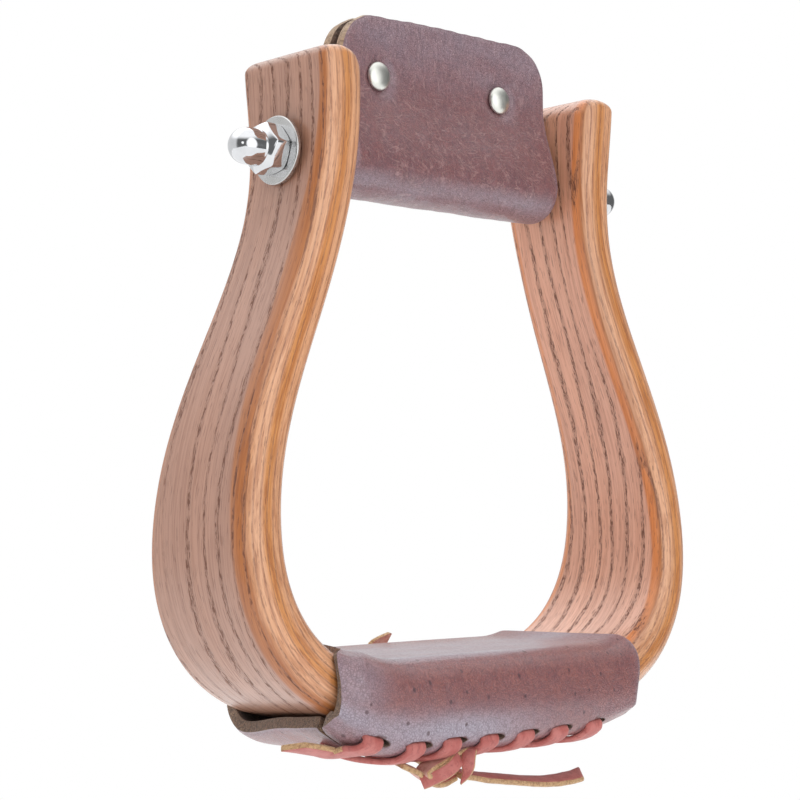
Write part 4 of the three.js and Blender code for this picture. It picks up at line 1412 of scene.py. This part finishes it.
@dataclass
class Thong:
    """The flat lacing thong: its stitches, and the band that its knot and its ends are made of.

    Attributes:
        clear: the space between the leather and the thong.
        band_width: how wide the stitches are pressed.
        set_left: how far left of the slits' middles the stitches lie.
        first_end: the first end's line, on from the first stitch.
        end_faces: the way that its grain side faces.
    """

    cover: TreadCover
    width: float = 5.5
    thickness: float = 1.3
    clear: float = 0.12
    band_width: float = 6.0
    set_left: float = 0.9
    first_end: tuple[Place, ...] = (
        (-51.4, -17.8, -139.2),
        (-55.2, -16.8, -138.3),
        (-59.4, -15.8, -137.4),
        (-63.2, -15.0, -136.5),
    )
    end_faces: Place = (-0.05, -0.36, -0.93)

    def __post_init__(self) -> None:
        """Works out how far the thong's middle runs from the leather's middle."""
        self.lift = self.cover.leather / 2 + self.clear + self.thickness / 2

    def band(
        self,
        line: np.ndarray,
        way: np.ndarray,
        width: float | np.ndarray,
        taper: float,
        seed: int,
    ) -> Skin:
        """A flat band along a line.

        A place is the line plus x times the band's width direction plus y times its face, with x
        and y on a rounded rectangle.

        Args:
            line: the middle line's points.
            way: the direction of the band's width at each of them.
            width: the band's width, or its width at each of them.
            taper: how long the tip at its end is, or 0 for a square end.
            seed: says how its cut edges waver.

        Returns:
            The band's skin, with the grain side 0, the cut edges 1 and the flesh side 2.
        """
        forward = unit(np.gradient(line, axis=0))
        face = unit(np.cross(forward, way))
        half, thick, round_it = self.width / 2, self.thickness / 2, 0.28 * self.thickness
        near, low = half - 0.1 * round_it, thick - round_it
        top = [(x, thick) for x in np.linspace(-half + round_it, half - round_it, 9)]
        upper = np.array([(-half, 0.0), (-near, low), *top, (near, low)])
        shape = np.concatenate([upper, -upper])
        run = run_along(line)
        narrow = np.ones(len(line))
        if taper > 0:
            narrow = 0.12 + 0.88 * np.clip((run[-1] - run) / taper, 0.0, 1.0)
        shift = half * (1.0 - narrow)
        wide = np.broadcast_to(np.asarray(width, float) / self.width, narrow.shape)
        x = (shape[None, :, 0] * narrow[:, None] + shift[:, None]) * wide[:, None]
        y = np.broadcast_to(shape[:, 1], x.shape)
        pattern = np.stack([np.broadcast_to(run[:, None], x.shape), x, y], -1)
        waver, bulge = 0.12, 0.18
        x = x + np.sign(shape[:, 0]) * waver * ripple(pattern, 7.0, seed)
        crown = bulge * (1.0 - (shape[:, 0] / half) ** 2)
        places = line[:, None] + x[..., None] * way[:, None] + (y + crown)[..., None] * face[:, None]
        finish = np.full(len(shape), 1)
        finish[2:10] = 0
        finish[14:22] = 2
        return Skin(places, finish=finish, end_finish=1, marks={"sheet": pattern + (0.0, 40.0 * seed, 0.0)})

    def stitch_line(self) -> tuple[np.ndarray, np.ndarray]:
        """The whip stitch's line and width directions, from inside the last slit to the first end.

        In section a turn is a rounded rectangle about the two margins. Outside the leather it slants
        by one pitch, and inside it runs straight across between facing slits.

        Returns:
            The points and the directions.
        """
        cover = self.cover
        reach, lift, bend = cover.slit_reach, self.lift, 0.95
        corners = [(reach - bend, lift - bend, 0.0), (bend - reach, lift - bend, 90.0)]
        corners += [(bend - reach, bend - lift, 180.0), (reach - bend, bend - lift, 270.0)]
        outline = [np.array([[reach, 0.0]])]
        for x, y, start in corners:
            outline.append(arc((x, y), bend, start, start + 90.0, 6))
            if start in (0.0, 180.0):
                ends = outline[-1][-1, 0]
                run = np.linspace(ends, -ends, 14)[1:-1]
                outline.append(np.stack([run, np.full(12, outline[-1][-1, 1])], -1))
        turn = np.concatenate(outline)
        per_turn = len(turn)
        stitches = len(cover.slits_at)
        whole = np.concatenate([turn] * stitches)
        number = np.repeat(np.arange(stitches), per_turn)
        outside = whole[:, 1] > 0
        share = smoothstep(-whole[:, 0], -reach + 0.5, reach - 0.5)
        share = np.where(outside, share, 1.0)
        share[::per_turn] = 0.0
        along = cover.slit(stitches - 1 - (number + share)) - self.set_left
        keep = np.arange(len(whole)) < (stitches - 1) * per_turn + 10
        place, _, forward = cover.on_margin(along[keep], whole[keep, 0], whole[keep, 1])
        return place, forward

    def build_stitches(self, palette: Palette) -> bpy.types.Object:
        """Builds the stitches and, on from the first of them, the thong's first end.

        Over the first millimetres of the end the band's width turns from the strip's direction to
        square across the end. The stitches' cut edges are waxed like the grain side.

        Args:
            palette: the finishes.

        Returns:
            The lacing.
        """
        line, way = self.stitch_line()
        end = smooth_line(np.concatenate([line[-1:], np.array(self.first_end)]), 40)[1:]
        whole = np.concatenate([line, end])
        forward = unit(np.gradient(whole, axis=0))[len(line) :]
        square = unit(np.cross(np.array(self.end_faces), forward))
        past = np.linalg.norm(end - line[-1], axis=1)
        share = smoothstep(past, 0.0, 6.0)
        turned_way = unit(way[-1] * (1.0 - share[:, None]) + square * share[:, None])
        end_width = self.band_width * (1 - share) + self.width * share
        wide = np.concatenate([np.full(len(line), self.band_width), end_width])
        skin = self.band(whole, np.concatenate([way, turned_way]), wide, 3.5, 4)
        skin.finish = np.tile(skin.finish, (len(whole) - 1, 1))
        stitched = skin.finish[: len(line)]
        stitched[stitched == 1] = 0
        stitches = write_piece("tread_lacing", skin, palette.thong)
        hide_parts("tread_lace")
        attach(stitches, Body.STIRRUP.value)
        return stitches


@dataclass(frozen=True)
class Strip:
    """A strip of the thong that shows in its knot.

    Attributes:
        name: its piece's name.
        width_way: the direction of its width.
        width: how wide it is.
        taper: how long the tip at its end is, or 0 for a square end.
        route: its middle line's points.
    """

    name: str
    width_way: Place
    width: float
    taper: float
    route: tuple[Place, ...]


@dataclass
class Knot:
    """The knot that the thong's two ends hang from, as the strips that show in it."""

    thong: Thong
    strips: tuple[Strip, ...] = (
        Strip(
            "knot_under_strip",
            (0.0, 1.0, 0.25),
            4.6,
            0.0,
            (
                (-35.0, -20.6, -142.8),
                (-32.4, -20.6, -143.9),
                (-29.8, -20.6, -145.0),
                (-27.3, -20.5, -146.6),
                (-24.4, -20.4, -148.1),
                (-21.0, -20.3, -148.3),
                (-17.5, -20.2, -147.4),
            ),
        ),
        Strip(
            "knot_folded_strip",
            (0.0, 1.0, 0.2),
            4.4,
            0.0,
            (
                (-12.2, -22.4, -140.6),
                (-15.1, -22.3, -140.7),
                (-18.6, -22.3, -141.4),
                (-21.9, -22.3, -142.4),
                (-25.2, -22.3, -143.5),
                (-27.6, -22.3, -144.4),
                (-28.5, -22.3, -145.2),
                (-27.4, -22.3, -145.9),
                (-24.8, -22.3, -145.4),
                (-21.6, -22.3, -144.2),
                (-18.4, -22.3, -143.2),
                (-15.6, -22.3, -142.4),
            ),
        ),
        Strip(
            "knot_front_strip",
            (-0.33, 0.31, 0.89),
            3.4,
            0.0,
            (
                (-28.6, -22.0, -147.6),
                (-26.8, -24.0, -146.5),
                (-24.0, -25.0, -145.3),
                (-21.7, -25.0, -144.3),
                (-19.6, -24.4, -143.1),
                (-18.4, -23.0, -141.9),
            ),
        ),
        Strip(
            "knot_pointed_strip",
            (0.729, -0.685, 0.0),
            3.4,
            4.0,
            (
                (-14.0, -23.4, -140.8),
                (-15.7, -24.6, -141.7),
                (-16.9, -25.4, -143.0),
                (-17.4, -25.6, -144.6),
                (-18.3, -25.2, -146.1),
                (-19.8, -24.4, -147.5),
            ),
        ),
    )

    def build(self, palette: Palette) -> list[bpy.types.Object]:
        """Builds the strips.

        Args:
            palette: the finishes.

        Returns:
            The pieces.
        """
        made = []
        for seed, strip in enumerate(self.strips, 11):
            line = smooth_line(np.array(strip.route), 64)
            skin = self.thong.band(line, across(line, strip.width_way), strip.width, strip.taper, seed)
            piece = write_piece(strip.name, skin, palette.thong)
            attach(piece, Body.STIRRUP.value)
            made.append(piece)
        return made


@dataclass
class Tail:
    """A free end of the thong, from the knot to its tip.

    Attributes:
        name: its piece's name.
        node: the node that it stands for.
        route: its middle line's points.
        width_way: the direction of its width.
        taper: how long its tip is.
        seed: says how its cut edges waver.
    """

    thong: Thong
    name: str
    node: str
    route: tuple[Place, ...]
    width_way: Place
    taper: float
    seed: int

    def build(self, palette: Palette) -> bpy.types.Object:
        """Args:
            palette: the finishes.

        Returns:
            The tail.
        """
        line = smooth_line(np.array(self.route), 70)
        way = across(line, self.width_way)
        skin = self.thong.band(line, way, self.thong.width, self.taper, self.seed)
        piece = write_piece(self.name, skin, palette.thong)
        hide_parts(self.node)
        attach(piece, Body.STIRRUP.value)
        return piece


FRONT_ROUTE = (
    (-16.2, -20.2, -146.9),
    (-13.4, -20.2, -147.4),
    (-10.5, -20.2, -148.0),
    (-7.4, -20.2, -148.7),
    (-4.2, -20.2, -149.2),
    (-1.0, -20.2, -149.7),
    (2.2, -20.2, -150.2),
    (5.4, -20.2, -150.7),
    (8.6, -20.2, -151.2),
    (11.8, -20.2, -151.6),
    (15.0, -20.2, -151.9),
    (18.2, -20.2, -152.1),
    (21.4, -20.2, -152.1),
    (24.6, -20.2, -152.0),
    (27.6, -20.2, -151.8),
    (30.4, -20.2, -151.5),
)
BACK_ROUTE = (
    (-18.2, -16.0, -145.2),
    (-17.6, -13.4, -144.8),
    (-16.4, -10.6, -144.5),
    (-15.0, -7.2, -144.3),
    (-13.5, -3.6, -144.1),
    (-12.0, 0.0, -144.0),
    (-10.5, 3.6, -143.9),
    (-9.0, 7.2, -143.8),
    (-7.5, 10.8, -143.7),
    (-6.0, 14.4, -143.6),
    (-4.6, 18.0, -143.4),
    (-3.2, 21.6, -142.9),
    (-2.0, 25.2, -141.8),
    (-0.9, 28.2, -139.2),
    (0.0, 29.9, -135.2),
    (0.9, 30.6, -131.2),
    (1.9, 30.5, -127.2),
    (3.2, 30.0, -123.2),
    (4.9, 29.4, -119.4),
    (7.0, 28.8, -115.9),
)


# The flap


@dataclass
class Flap:
    """The leather folded round the roller, with its two rivets.

    Attributes:
        fold_leather: the leather's thickness round the fold, where it is drawn thin.
        closed_height: where the two layers meet over the roller.
        fold_radius: from the roller's middle to the leather's, in the fold.
        parting: how far each layer opens past the rivets.
        rivets: where they stand along the bolt.
        rim_height, head_height, head_radius: a rivet head's rim, the dome on it, and its radius.
        stems: the radii of the front caps' tubes and the backs' pins.
    """

    half_width: float = 35.6
    leather: float = 3.2
    fold_leather: float = 2.4
    closed_height: float = 21.0
    top: float = 37.2
    corner_radius: float = 11.0
    fold_radius: float = 7.72
    parting: float = 0.8
    rivet_height: float = 21.5
    rivets: Pair = (-23.7, 18.8)
    rim_height: float = 0.35
    head_height: float = 1.3
    head_radius: float = 3.55
    stems: Pair = (1.9, 1.0)

    def __post_init__(self) -> None:
        """Works out how far each layer's middle lies from the flap's middle plane."""
        self.layer = (self.leather + GAP) / 2

    def section(self, x: float, top: float) -> np.ndarray:
        """The leather's middle line in depth and height for one column, from back top to front top.

        A layer at height h lies at the fold's radius, blended by a smoothstep to the layer's own
        depth where the two close, and the layers part a little past the rivets. The fold is half
        a circle.

        Args:
            x: the column's place along the bolt.
            top: the column's top.

        Returns:
            The points.
        """
        share = np.linspace(0.0, 1.0, 66)[1:]
        height = share * top
        apart = self.layer + self.parting * float(smoothstep(abs(x), 21.0, self.half_width))
        closing = smoothstep(height, -3.0, self.closed_height)
        depth = self.fold_radius + (apart - self.fold_radius) * (closing - closing[0]) / (1.0 - closing[0])
        front = np.stack([-depth, height], -1)
        fold = arc((0.0, 0.0), self.fold_radius, 0.0, -180.0, 49)
        back = np.stack([depth, height], -1)[::-1]
        return np.concatenate([back, fold, front])

    def columns(self) -> tuple[np.ndarray, np.ndarray]:
        """Places across the flap, closer together round its corners, and the top's height at each."""
        angle = np.radians(np.linspace(0.0, 90.0, 15))
        inner = self.half_width - self.corner_radius
        bend = inner + self.corner_radius * np.cos(angle)
        drop = self.corner_radius * (1.0 - np.sin(angle))
        flat = np.linspace(inner, -inner, 66)[1:-1]
        x = np.concatenate([bend, flat, -bend[::-1]])
        top = self.top - np.concatenate([drop, np.zeros(64), drop[::-1]])
        top = top - 0.8 * smoothstep(-x, 2.0, 30.0) + 0.12 * np.sin(x * 0.9) * np.sin(x * 0.37)
        return x, top

    def dents(self, x: np.ndarray, height: np.ndarray) -> np.ndarray:
        """How far the leather's face sinks in a pressed ring round each rivet, inside a low ridge.

        Args:
            x: places along the bolt.
            height: heights over the bolt.

        Returns:
            The sinking in millimetres.
        """
        sunk = np.zeros_like(x)
        for rivet in self.rivets:
            away = np.hypot(x - rivet, height - self.rivet_height)
            sunk += 0.42 * np.exp(-(((away - 2.6) / 2.6) ** 2))
            sunk -= 0.16 * np.exp(-(((away - 5.4) / 1.1) ** 2))
        return sunk

    def wear(
        self, x: np.ndarray, height: np.ndarray, rim: np.ndarray, sheet: np.ndarray
    ) -> dict[str, np.ndarray]:
        """How worn, streaked and creased the grain side is at each place, and where a sheen is painted on
        it.

        Args:
            x: places along the bolt.
            height: heights over the bolt.
            rim: how far the leather's nearest edge is.
            sheet: the places on the flat leather.

        Returns:
            The four marks.
        """
        worn = 0.6 * np.clip(1.0 - rim / 1.6, 0.0, 1.0)
        for rivet in self.rivets:
            away = np.hypot(x - rivet, height - self.rivet_height)
            beside = 0.3 + 0.7 * smoothstep(x - rivet, -1.0, 4.0)
            rub = 0.6 * np.exp(-(((away - 5.4) / 1.9) ** 2)) * smoothstep(height, -2.0, 6.0) * beside
            worn = np.maximum(worn, rub)
        # Painted sheen on a band low on the fold and towards the top.
        painted_sheen = 0.6 * np.exp(-(((height + 5.2) / 2.3) ** 2)) + 0.38 * smoothstep(height, 14.0, 34.0)
        return {
            "worn": worn,
            "streak": 0.3 + 0.7 * smoothstep(height, 10.0, 24.0),
            "crease": 1.0 - 0.75 * smoothstep(height, 15.0, 25.0),
            "painted_sheen": painted_sheen * (0.85 + 0.25 * ripple(sheet * (0.25, 1.0, 1.0), 7.0, 37)),
        }

    def build(self, palette: Palette) -> bpy.types.Object:
        """Builds the flap.

        Args:
            palette: the finishes.

        Returns:
            The flap.
        """
        x, tops = self.columns()
        lines = np.stack([self.section(place, top) for place, top in zip(x, tops)])
        way = unit(np.gradient(lines, axis=1))
        normal = np.stack([way[..., 1], -way[..., 0]], -1)
        normal = normal * np.sign((normal * (lines - (0.0, 12.0))).sum(-1).mean())
        run = run_along(lines)
        run = run - run[:, lines.shape[1] // 2][:, None]
        x = np.broadcast_to(x[:, None], run.shape)
        height = lines[..., 1]
        sheet = np.stack([x, run, np.zeros_like(run)], -1)

        from_side = np.minimum(np.abs(x + self.half_width), np.abs(x - self.half_width))
        from_top = np.minimum(run - run[:, :1], run[:, -1:] - run)
        rim = np.minimum(from_side, from_top)
        thicker = smoothstep(height, -1.0, 14.0)
        half = (self.fold_leather + (self.leather - self.fold_leather) * thicker) / 2
        at_rim = 1.0 - smoothstep(rim, 0.0, 1.2)
        thick = half * (1.0 - 0.2 * at_rim)
        sunk = self.dents(x, height) * smoothstep(height, -2.0, 6.0)
        uneven = 0.16 * ripple(sheet, 21.0, 31) + 0.07 * ripple(sheet, 6.0, 32)
        outer = lines + normal * (thick + (uneven - sunk) * (1 - at_rim))[..., None]
        ring = round_sheet(lines, outer, lines - normal * thick[..., None])
        places = np.concatenate([np.broadcast_to(x[:, :1, None], ring.shape[:2] + (1,)), ring], -1)
        skin = leather_skin(places, sheet, self.leather, 0.0, self.wear(x, height, rim, sheet))
        piece = write_piece("bolt_flap_leather", skin, [palette.flap, palette.flap_cut, palette.flesh], 50.0)
        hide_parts("bolt_flap")
        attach(piece, Body.FLAP.value)
        return piece

    def build_rivets(self, palette: Palette) -> list[bpy.types.Object]:
        """Builds the rivets' front caps and backs, each a low dome on its stem.

        Args:
            palette: the finishes.

        Returns:
            The four pieces.
        """
        seat = self.layer + self.leather / 2 + GAP / 2
        dome = arc((0.0, 0.0), 1.0, 90.0, 0.0, 14) * (self.head_height, self.head_radius)
        dome = dome + (seat + self.rim_height, 0.0)
        dome[-1, 1] = 0.04
        rim = np.array([[seat - 0.05, self.head_radius - 0.3], [seat, self.head_radius - 0.05]])
        made = []
        for name, x in zip(("left", "right"), self.rivets):
            for part, forward, stem in zip(("cap", "post"), (-1, 1), self.stems):
                shank = np.array([[-1.2, 0.04], [-1.2, stem - 0.2], [-1.0, stem], [seat - 0.05, stem]])
                grid = turned(np.concatenate([shank, rim, dome]), 64)
                grid = grid[..., [1, 0, 2]] * (1, forward, 1) + (x, 0.0, self.rivet_height)
                piece = write_piece(f"rivet_{name}_{part}_head", Skin(grid), [palette.rivet], 40.0)
                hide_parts(f"rivet_{name}_{part}")
                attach(piece, Body.FLAP.value)
                made.append(piece)
        return made


# The bolt and what is on it


def ring_profile(span: Pair, radii: Pair, bends: Pair, counts: tuple[int, int]) -> np.ndarray:
    """A ring's section as rows of x and radius, with rounded corners, from its high rim round.

    Args:
        span: where it starts and ends along X.
        radii: its inner and outer radius.
        bends: the corners' radii at the rim and at the bore.
        counts: how many points each of those corners has.

    Returns:
        The section's points.
    """
    low, high = span
    bore, rim = radii
    outer, inner = bends
    corners = [
        arc((high - outer, rim - outer), outer, 0.0, 90.0, counts[0]),
        arc((low + outer, rim - outer), outer, 90.0, 180.0, counts[0]),
        arc((low + inner, bore + inner), inner, 180.0, 270.0, counts[1]),
        arc((high - inner, bore + inner), inner, 270.0, 360.0, counts[1]),
    ]
    return np.concatenate(corners)


@dataclass
class BoltSet:
    """The cross bolt with its roller, washers and cap nuts.

    Attributes:
        radius: the bolt's radius.
        washer_seat: how far out the washers stand on the arms.
        hex_height, dome_radius, nut_height: a cap nut's hexagon, its dome, and its whole height.
        nut_turn: how far the hexagons are turned, in degrees.
        roller_radius, roller_half: the roller's radius, and half its length.
    """

    radius: float = 3.175
    washer_seat: float = 52.4
    washer_radius: float = 8.2
    washer_thickness: float = 1.3
    across_flats: float = 11.1
    hex_height: float = 5.2
    dome_radius: float = 4.3
    nut_height: float = 12.7
    nut_turn: float = 10.0
    roller_radius: float = 6.35
    roller_half: float = 37.6

    def build_washer(self, side: Side, palette: Palette) -> bpy.types.Object:
        """Builds a washer with softly rounded rims, its outward face in rings for even shading.

        Args:
            side: which arm it is on.
            palette: the finishes.

        Returns:
            The washer.
        """
        low, high = self.washer_seat, self.washer_seat + self.washer_thickness
        bore, rim, bend = self.radius + GAP, self.washer_radius, 0.32
        face = np.stack([np.full(10, high), np.linspace(bore + 0.2, rim - bend, 12)[1:-1]], -1)
        profile = np.concatenate([ring_profile((low, high), (bore, rim), (bend, 0.15), (5, 3)), face])
        grid = turned(profile, 96) * (side.value, 1.0, 1.0)
        word = side.name.lower()
        piece = write_piece(f"bolt_washer_{word}", Skin(grid, looped=True), [palette.washer], 45.0)
        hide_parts(f"washer_{word}")
        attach(piece, Body.STIRRUP.value)
        return piece

    def build_cap_nut(self, side: Side, palette: Palette) -> bpy.types.Object:
        """Builds a cap nut as one radius over height and angle.

        The radius is the least of a hexagon's, half the flats over the cosine of the angle from the
        nearest flat, and of a chamfer cone's; over the hexagon it is the dome's. The least is taken
        softly, by a high power, so that the edges are rounded.

        Args:
            side: which arm it is on.
            palette: the finishes.

        Returns:
            The nut.
        """
        seat = self.washer_seat + self.washer_thickness + GAP / 2
        apothem = self.across_flats / 2
        corner = apothem / math.cos(math.pi / 6)
        angle = np.linspace(0.0, 2.0 * math.pi, 240, endpoint=False)
        start = math.radians(self.nut_turn)
        ways = start + math.pi / 6 + np.arange(6) * math.pi / 3
        power = 64.0
        flats = np.maximum(np.cos(angle[:, None] - ways), 0.0) / apothem
        hexagon = 1.0 / (flats**power).sum(-1) ** (1.0 / power)
        spans = ((0.0, 0.6, 7), (0.75, 3.6, 12), (3.7, self.hex_height, 16))
        height = np.concatenate([np.linspace(*span) for span in spans])
        cone = np.minimum(corner - 0.1 - np.maximum(0.45 - height, 0.0), corner + (3.9 - height) * 1.55)
        soft = 48.0
        body = (hexagon[None] ** -soft + cone[:, None] ** -soft) ** (-1.0 / soft)
        body[-1] = np.minimum(body[-1], self.dome_radius + 0.35)
        foot, round_it = self.hex_height, self.dome_radius
        neck = np.array([[foot + 0.1, round_it + 0.12], [foot + 0.4, round_it]])
        middle = self.nut_height - round_it
        wall = np.stack([np.linspace(foot + 0.7, middle - 0.3, 8), np.full(8, round_it)], -1)
        dome = arc((middle, 0.0), round_it, 90.0, 0.0, 24)
        dome[-1, 1] = 0.03
        top = np.concatenate([neck, wall, dome])
        heights = np.concatenate([[0.0], height, top[:, 0]])
        columns = len(angle)
        rings = [np.full((1, columns), 0.05), body, np.broadcast_to(top[:, 1:], (len(top), columns))]
        radii = np.concatenate(rings)
        x = np.broadcast_to(seat + heights[:, None], radii.shape)
        grid = np.stack([x, -radii * np.cos(angle), radii * np.sin(angle)], -1) * (side.value, 1.0, 1.0)
        word = side.name.lower()
        piece = write_piece(f"bolt_cap_nut_{word}", Skin(grid), [palette.plate], 70.0)
        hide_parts(f"cap_nut_{word}")
        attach(piece, Body.STIRRUP.value)
        return piece

    def build_shafts(self, palette: Palette) -> list[bpy.types.Object]:
        """Builds the bolt and the roller that turns on it.

        Args:
            palette: the finishes.

        Returns:
            The two pieces.
        """
        end = self.washer_seat + self.washer_thickness + 6.0
        half = np.array([[end - 0.6, self.radius], [end, 2.5], [end, 0.05]])
        rod = np.concatenate([half[::-1] * (-1, 1), half])
        bolt = write_piece("bolt_rod", Skin(turned(rod, 48)), [palette.steel], 30.0)
        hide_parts("cross_bolt")
        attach(bolt, Body.STIRRUP.value)
        far, bend = self.roller_half, 0.4
        radii = (self.radius + GAP, self.roller_radius)
        profile = ring_profile((-far, far), radii, (bend, bend), (5, 4))
        roller = write_piece("strap_roller", Skin(turned(profile, 72), looped=True), [palette.steel], 40.0)
        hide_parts("bolt_roller")
        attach(roller, Body.ROLLER.value)
        return [bolt, roller]


# The studio


@dataclass(frozen=True)
class Studio:
    """The camera, the soft light all round and the pale floor far below.

    Attributes:
        lens, sensor: the camera's, in millimetres.
        place: where the camera stands.
        azimuth, elevation, roll: how it is turned, in degrees.
        dim: the light that comes from every direction.
        lights: each light's aim, the cosines between which it fades in, and its strength.
    """

    lens: float = 85.681
    sensor: float = 36.0
    place: Place = (-336.239, -342.842, -84.982)
    azimuth: float = -43.2326
    elevation: float = -3.3476
    roll: float = -0.4601
    floor_drop: float = 700.0
    floor_half: float = 2300.0
    dim: float = 0.16
    lights: tuple[tuple[Place, float, float, float], ...] = (
        ((0.0, 1.0, 0.0), 0.0, 0.35, 0.68),
        ((0.0, 0.0, 1.0), 0.42, 0.78, 1.18),
        ((0.0, 0.0, -1.0), 0.2, 0.5, 0.9),
        ((-0.02, -1.0, 0.05), 0.76, 0.9, 1.5),
        ((-0.86, -0.5, 0.14), 0.988, 0.996, 1.6),
    )

    def set_camera(self) -> None:
        """Stands the camera where the picture was taken from."""
        data = bpy.data.cameras.new("camera")
        data.lens = self.lens
        data.sensor_width = self.sensor
        data.clip_start = 0.01
        camera = stand("camera", data)
        bpy.context.scene.camera = camera
        azimuth, elevation, roll = (math.radians(v) for v in (self.azimuth, self.elevation, self.roll))
        level = math.cos(elevation)
        back = Vector((math.sin(azimuth) * level, -math.cos(azimuth) * level, math.sin(elevation)))
        right = (-back).cross(Vector((0.0, 0.0, 1.0))).normalized()
        up = right.cross(-back)
        turned_right = right * math.cos(roll) + up * math.sin(roll)
        turned_up = up * math.cos(roll) - right * math.sin(roll)
        facing = Matrix((turned_right, turned_up, back)).transposed().to_4x4()
        camera.matrix_world = Matrix.Translation(Vector(self.place) * MM) @ facing

    def set_light(self) -> None:
        """Lights the object from behind, above, below and in front, with a small lamp at the left.

        Each light is a soft round patch of directions, brighter by its strength where the
        direction's share along the light's aim passes from one cosine to another. The camera
        itself sees plain white.
        """
        world = bpy.data.worlds.new("studio")
        bpy.context.scene.world = world
        world.use_nodes = True
        web = Web(world.node_tree)
        web.tree.nodes.clear()
        way = web.vector("NORMALIZE", web.add("TexCoord").outputs["Generated"])
        level: object = self.dim
        for aim, low, high, strength in self.lights:
            facing = web.vector("DOT_PRODUCT", way, tuple(Vector(aim).normalized()))
            level = web.math("ADD", level, web.fade(facing, low, high, 0.0, strength))
        white = (1.0, 1.0, 1.0, 1.0)
        light = web.add("Background", None, Color=white, Strength=level)
        seen = web.add("Background", None, Color=white, Strength=1.0)
        share = web.add("LightPath").outputs["Is Camera Ray"]
        joined = web.add("MixShader")
        web.plug(joined.inputs[0], share)
        web.plug(joined.inputs[1], light.outputs[0])
        web.plug(joined.inputs[2], seen.outputs[0])
        web.add("OutputWorld", None, Surface=joined.outputs[0])
        bpy.context.scene.view_settings.view_transform = "Standard"

    def set_floor(self) -> None:
        """Lays a pale floor far below the hanging stirrup."""
        half = self.floor_half
        corners = np.array([(-half, -half), (half, -half), (half, half), (-half, half)])
        places = np.concatenate([corners, np.full((4, 1), -self.floor_drop)], 1) * MM
        mesh = bpy.data.meshes.new("floor")
        mesh.from_pydata(places.tolist(), [], [(0, 1, 2, 3)])
        web, shader, material = new_material("floor_paper", Roughness=0.95)
        cloud = web.noise(web.add("TexCoord").outputs["Object"], 3.0, 2.0)
        paper = web.mix(web.fade(cloud, 0.3, 0.7), (0.93, 0.93, 0.93), (0.95, 0.95, 0.95))
        web.feed(shader, Base_Color=paper)
        mesh.materials.append(material)
        floor = stand("floor", mesh)


def main() -> None:
    """Builds every sub-assembly in order and reports each piece."""
    logging.basicConfig(level=logging.INFO, format="%(message)s")
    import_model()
    studio = Studio()
    studio.set_camera()
    palette = Palette()
    bow = Bow()
    cover = TreadCover(bow)
    thong = Thong(cover)
    tails = [
        Tail(thong, "thong_tail_front", "lace_tail_front", FRONT_ROUTE, (0.0, 1.0, 0.25), 3.5, 6),
        Tail(thong, "thong_tail_back", "lace_tail_back", BACK_ROUTE, (1.0, 0.0, 0.0), 5.0, 7),
    ]
    made = [tail.build(palette) for tail in tails]
    made.append(bow.build(palette))
    made.append(cover.build(palette))
    made.append(thong.build_stitches(palette))
    made.extend(Knot(thong).build(palette))
    flap = Flap()
    made.append(flap.build(palette))
    made.extend(flap.build_rivets(palette))
    bolts = BoltSet()
    made.extend(bolts.build_shafts(palette))
    for side in Side:
        made.append(bolts.build_washer(side, palette))
        made.append(bolts.build_cap_nut(side, palette))
    studio.set_light()
    studio.set_floor()
    for piece in made:
        LOG.info("%s: %d faces", piece.name, len(piece.data.polygons))


if __name__ == "__main__":
    main()
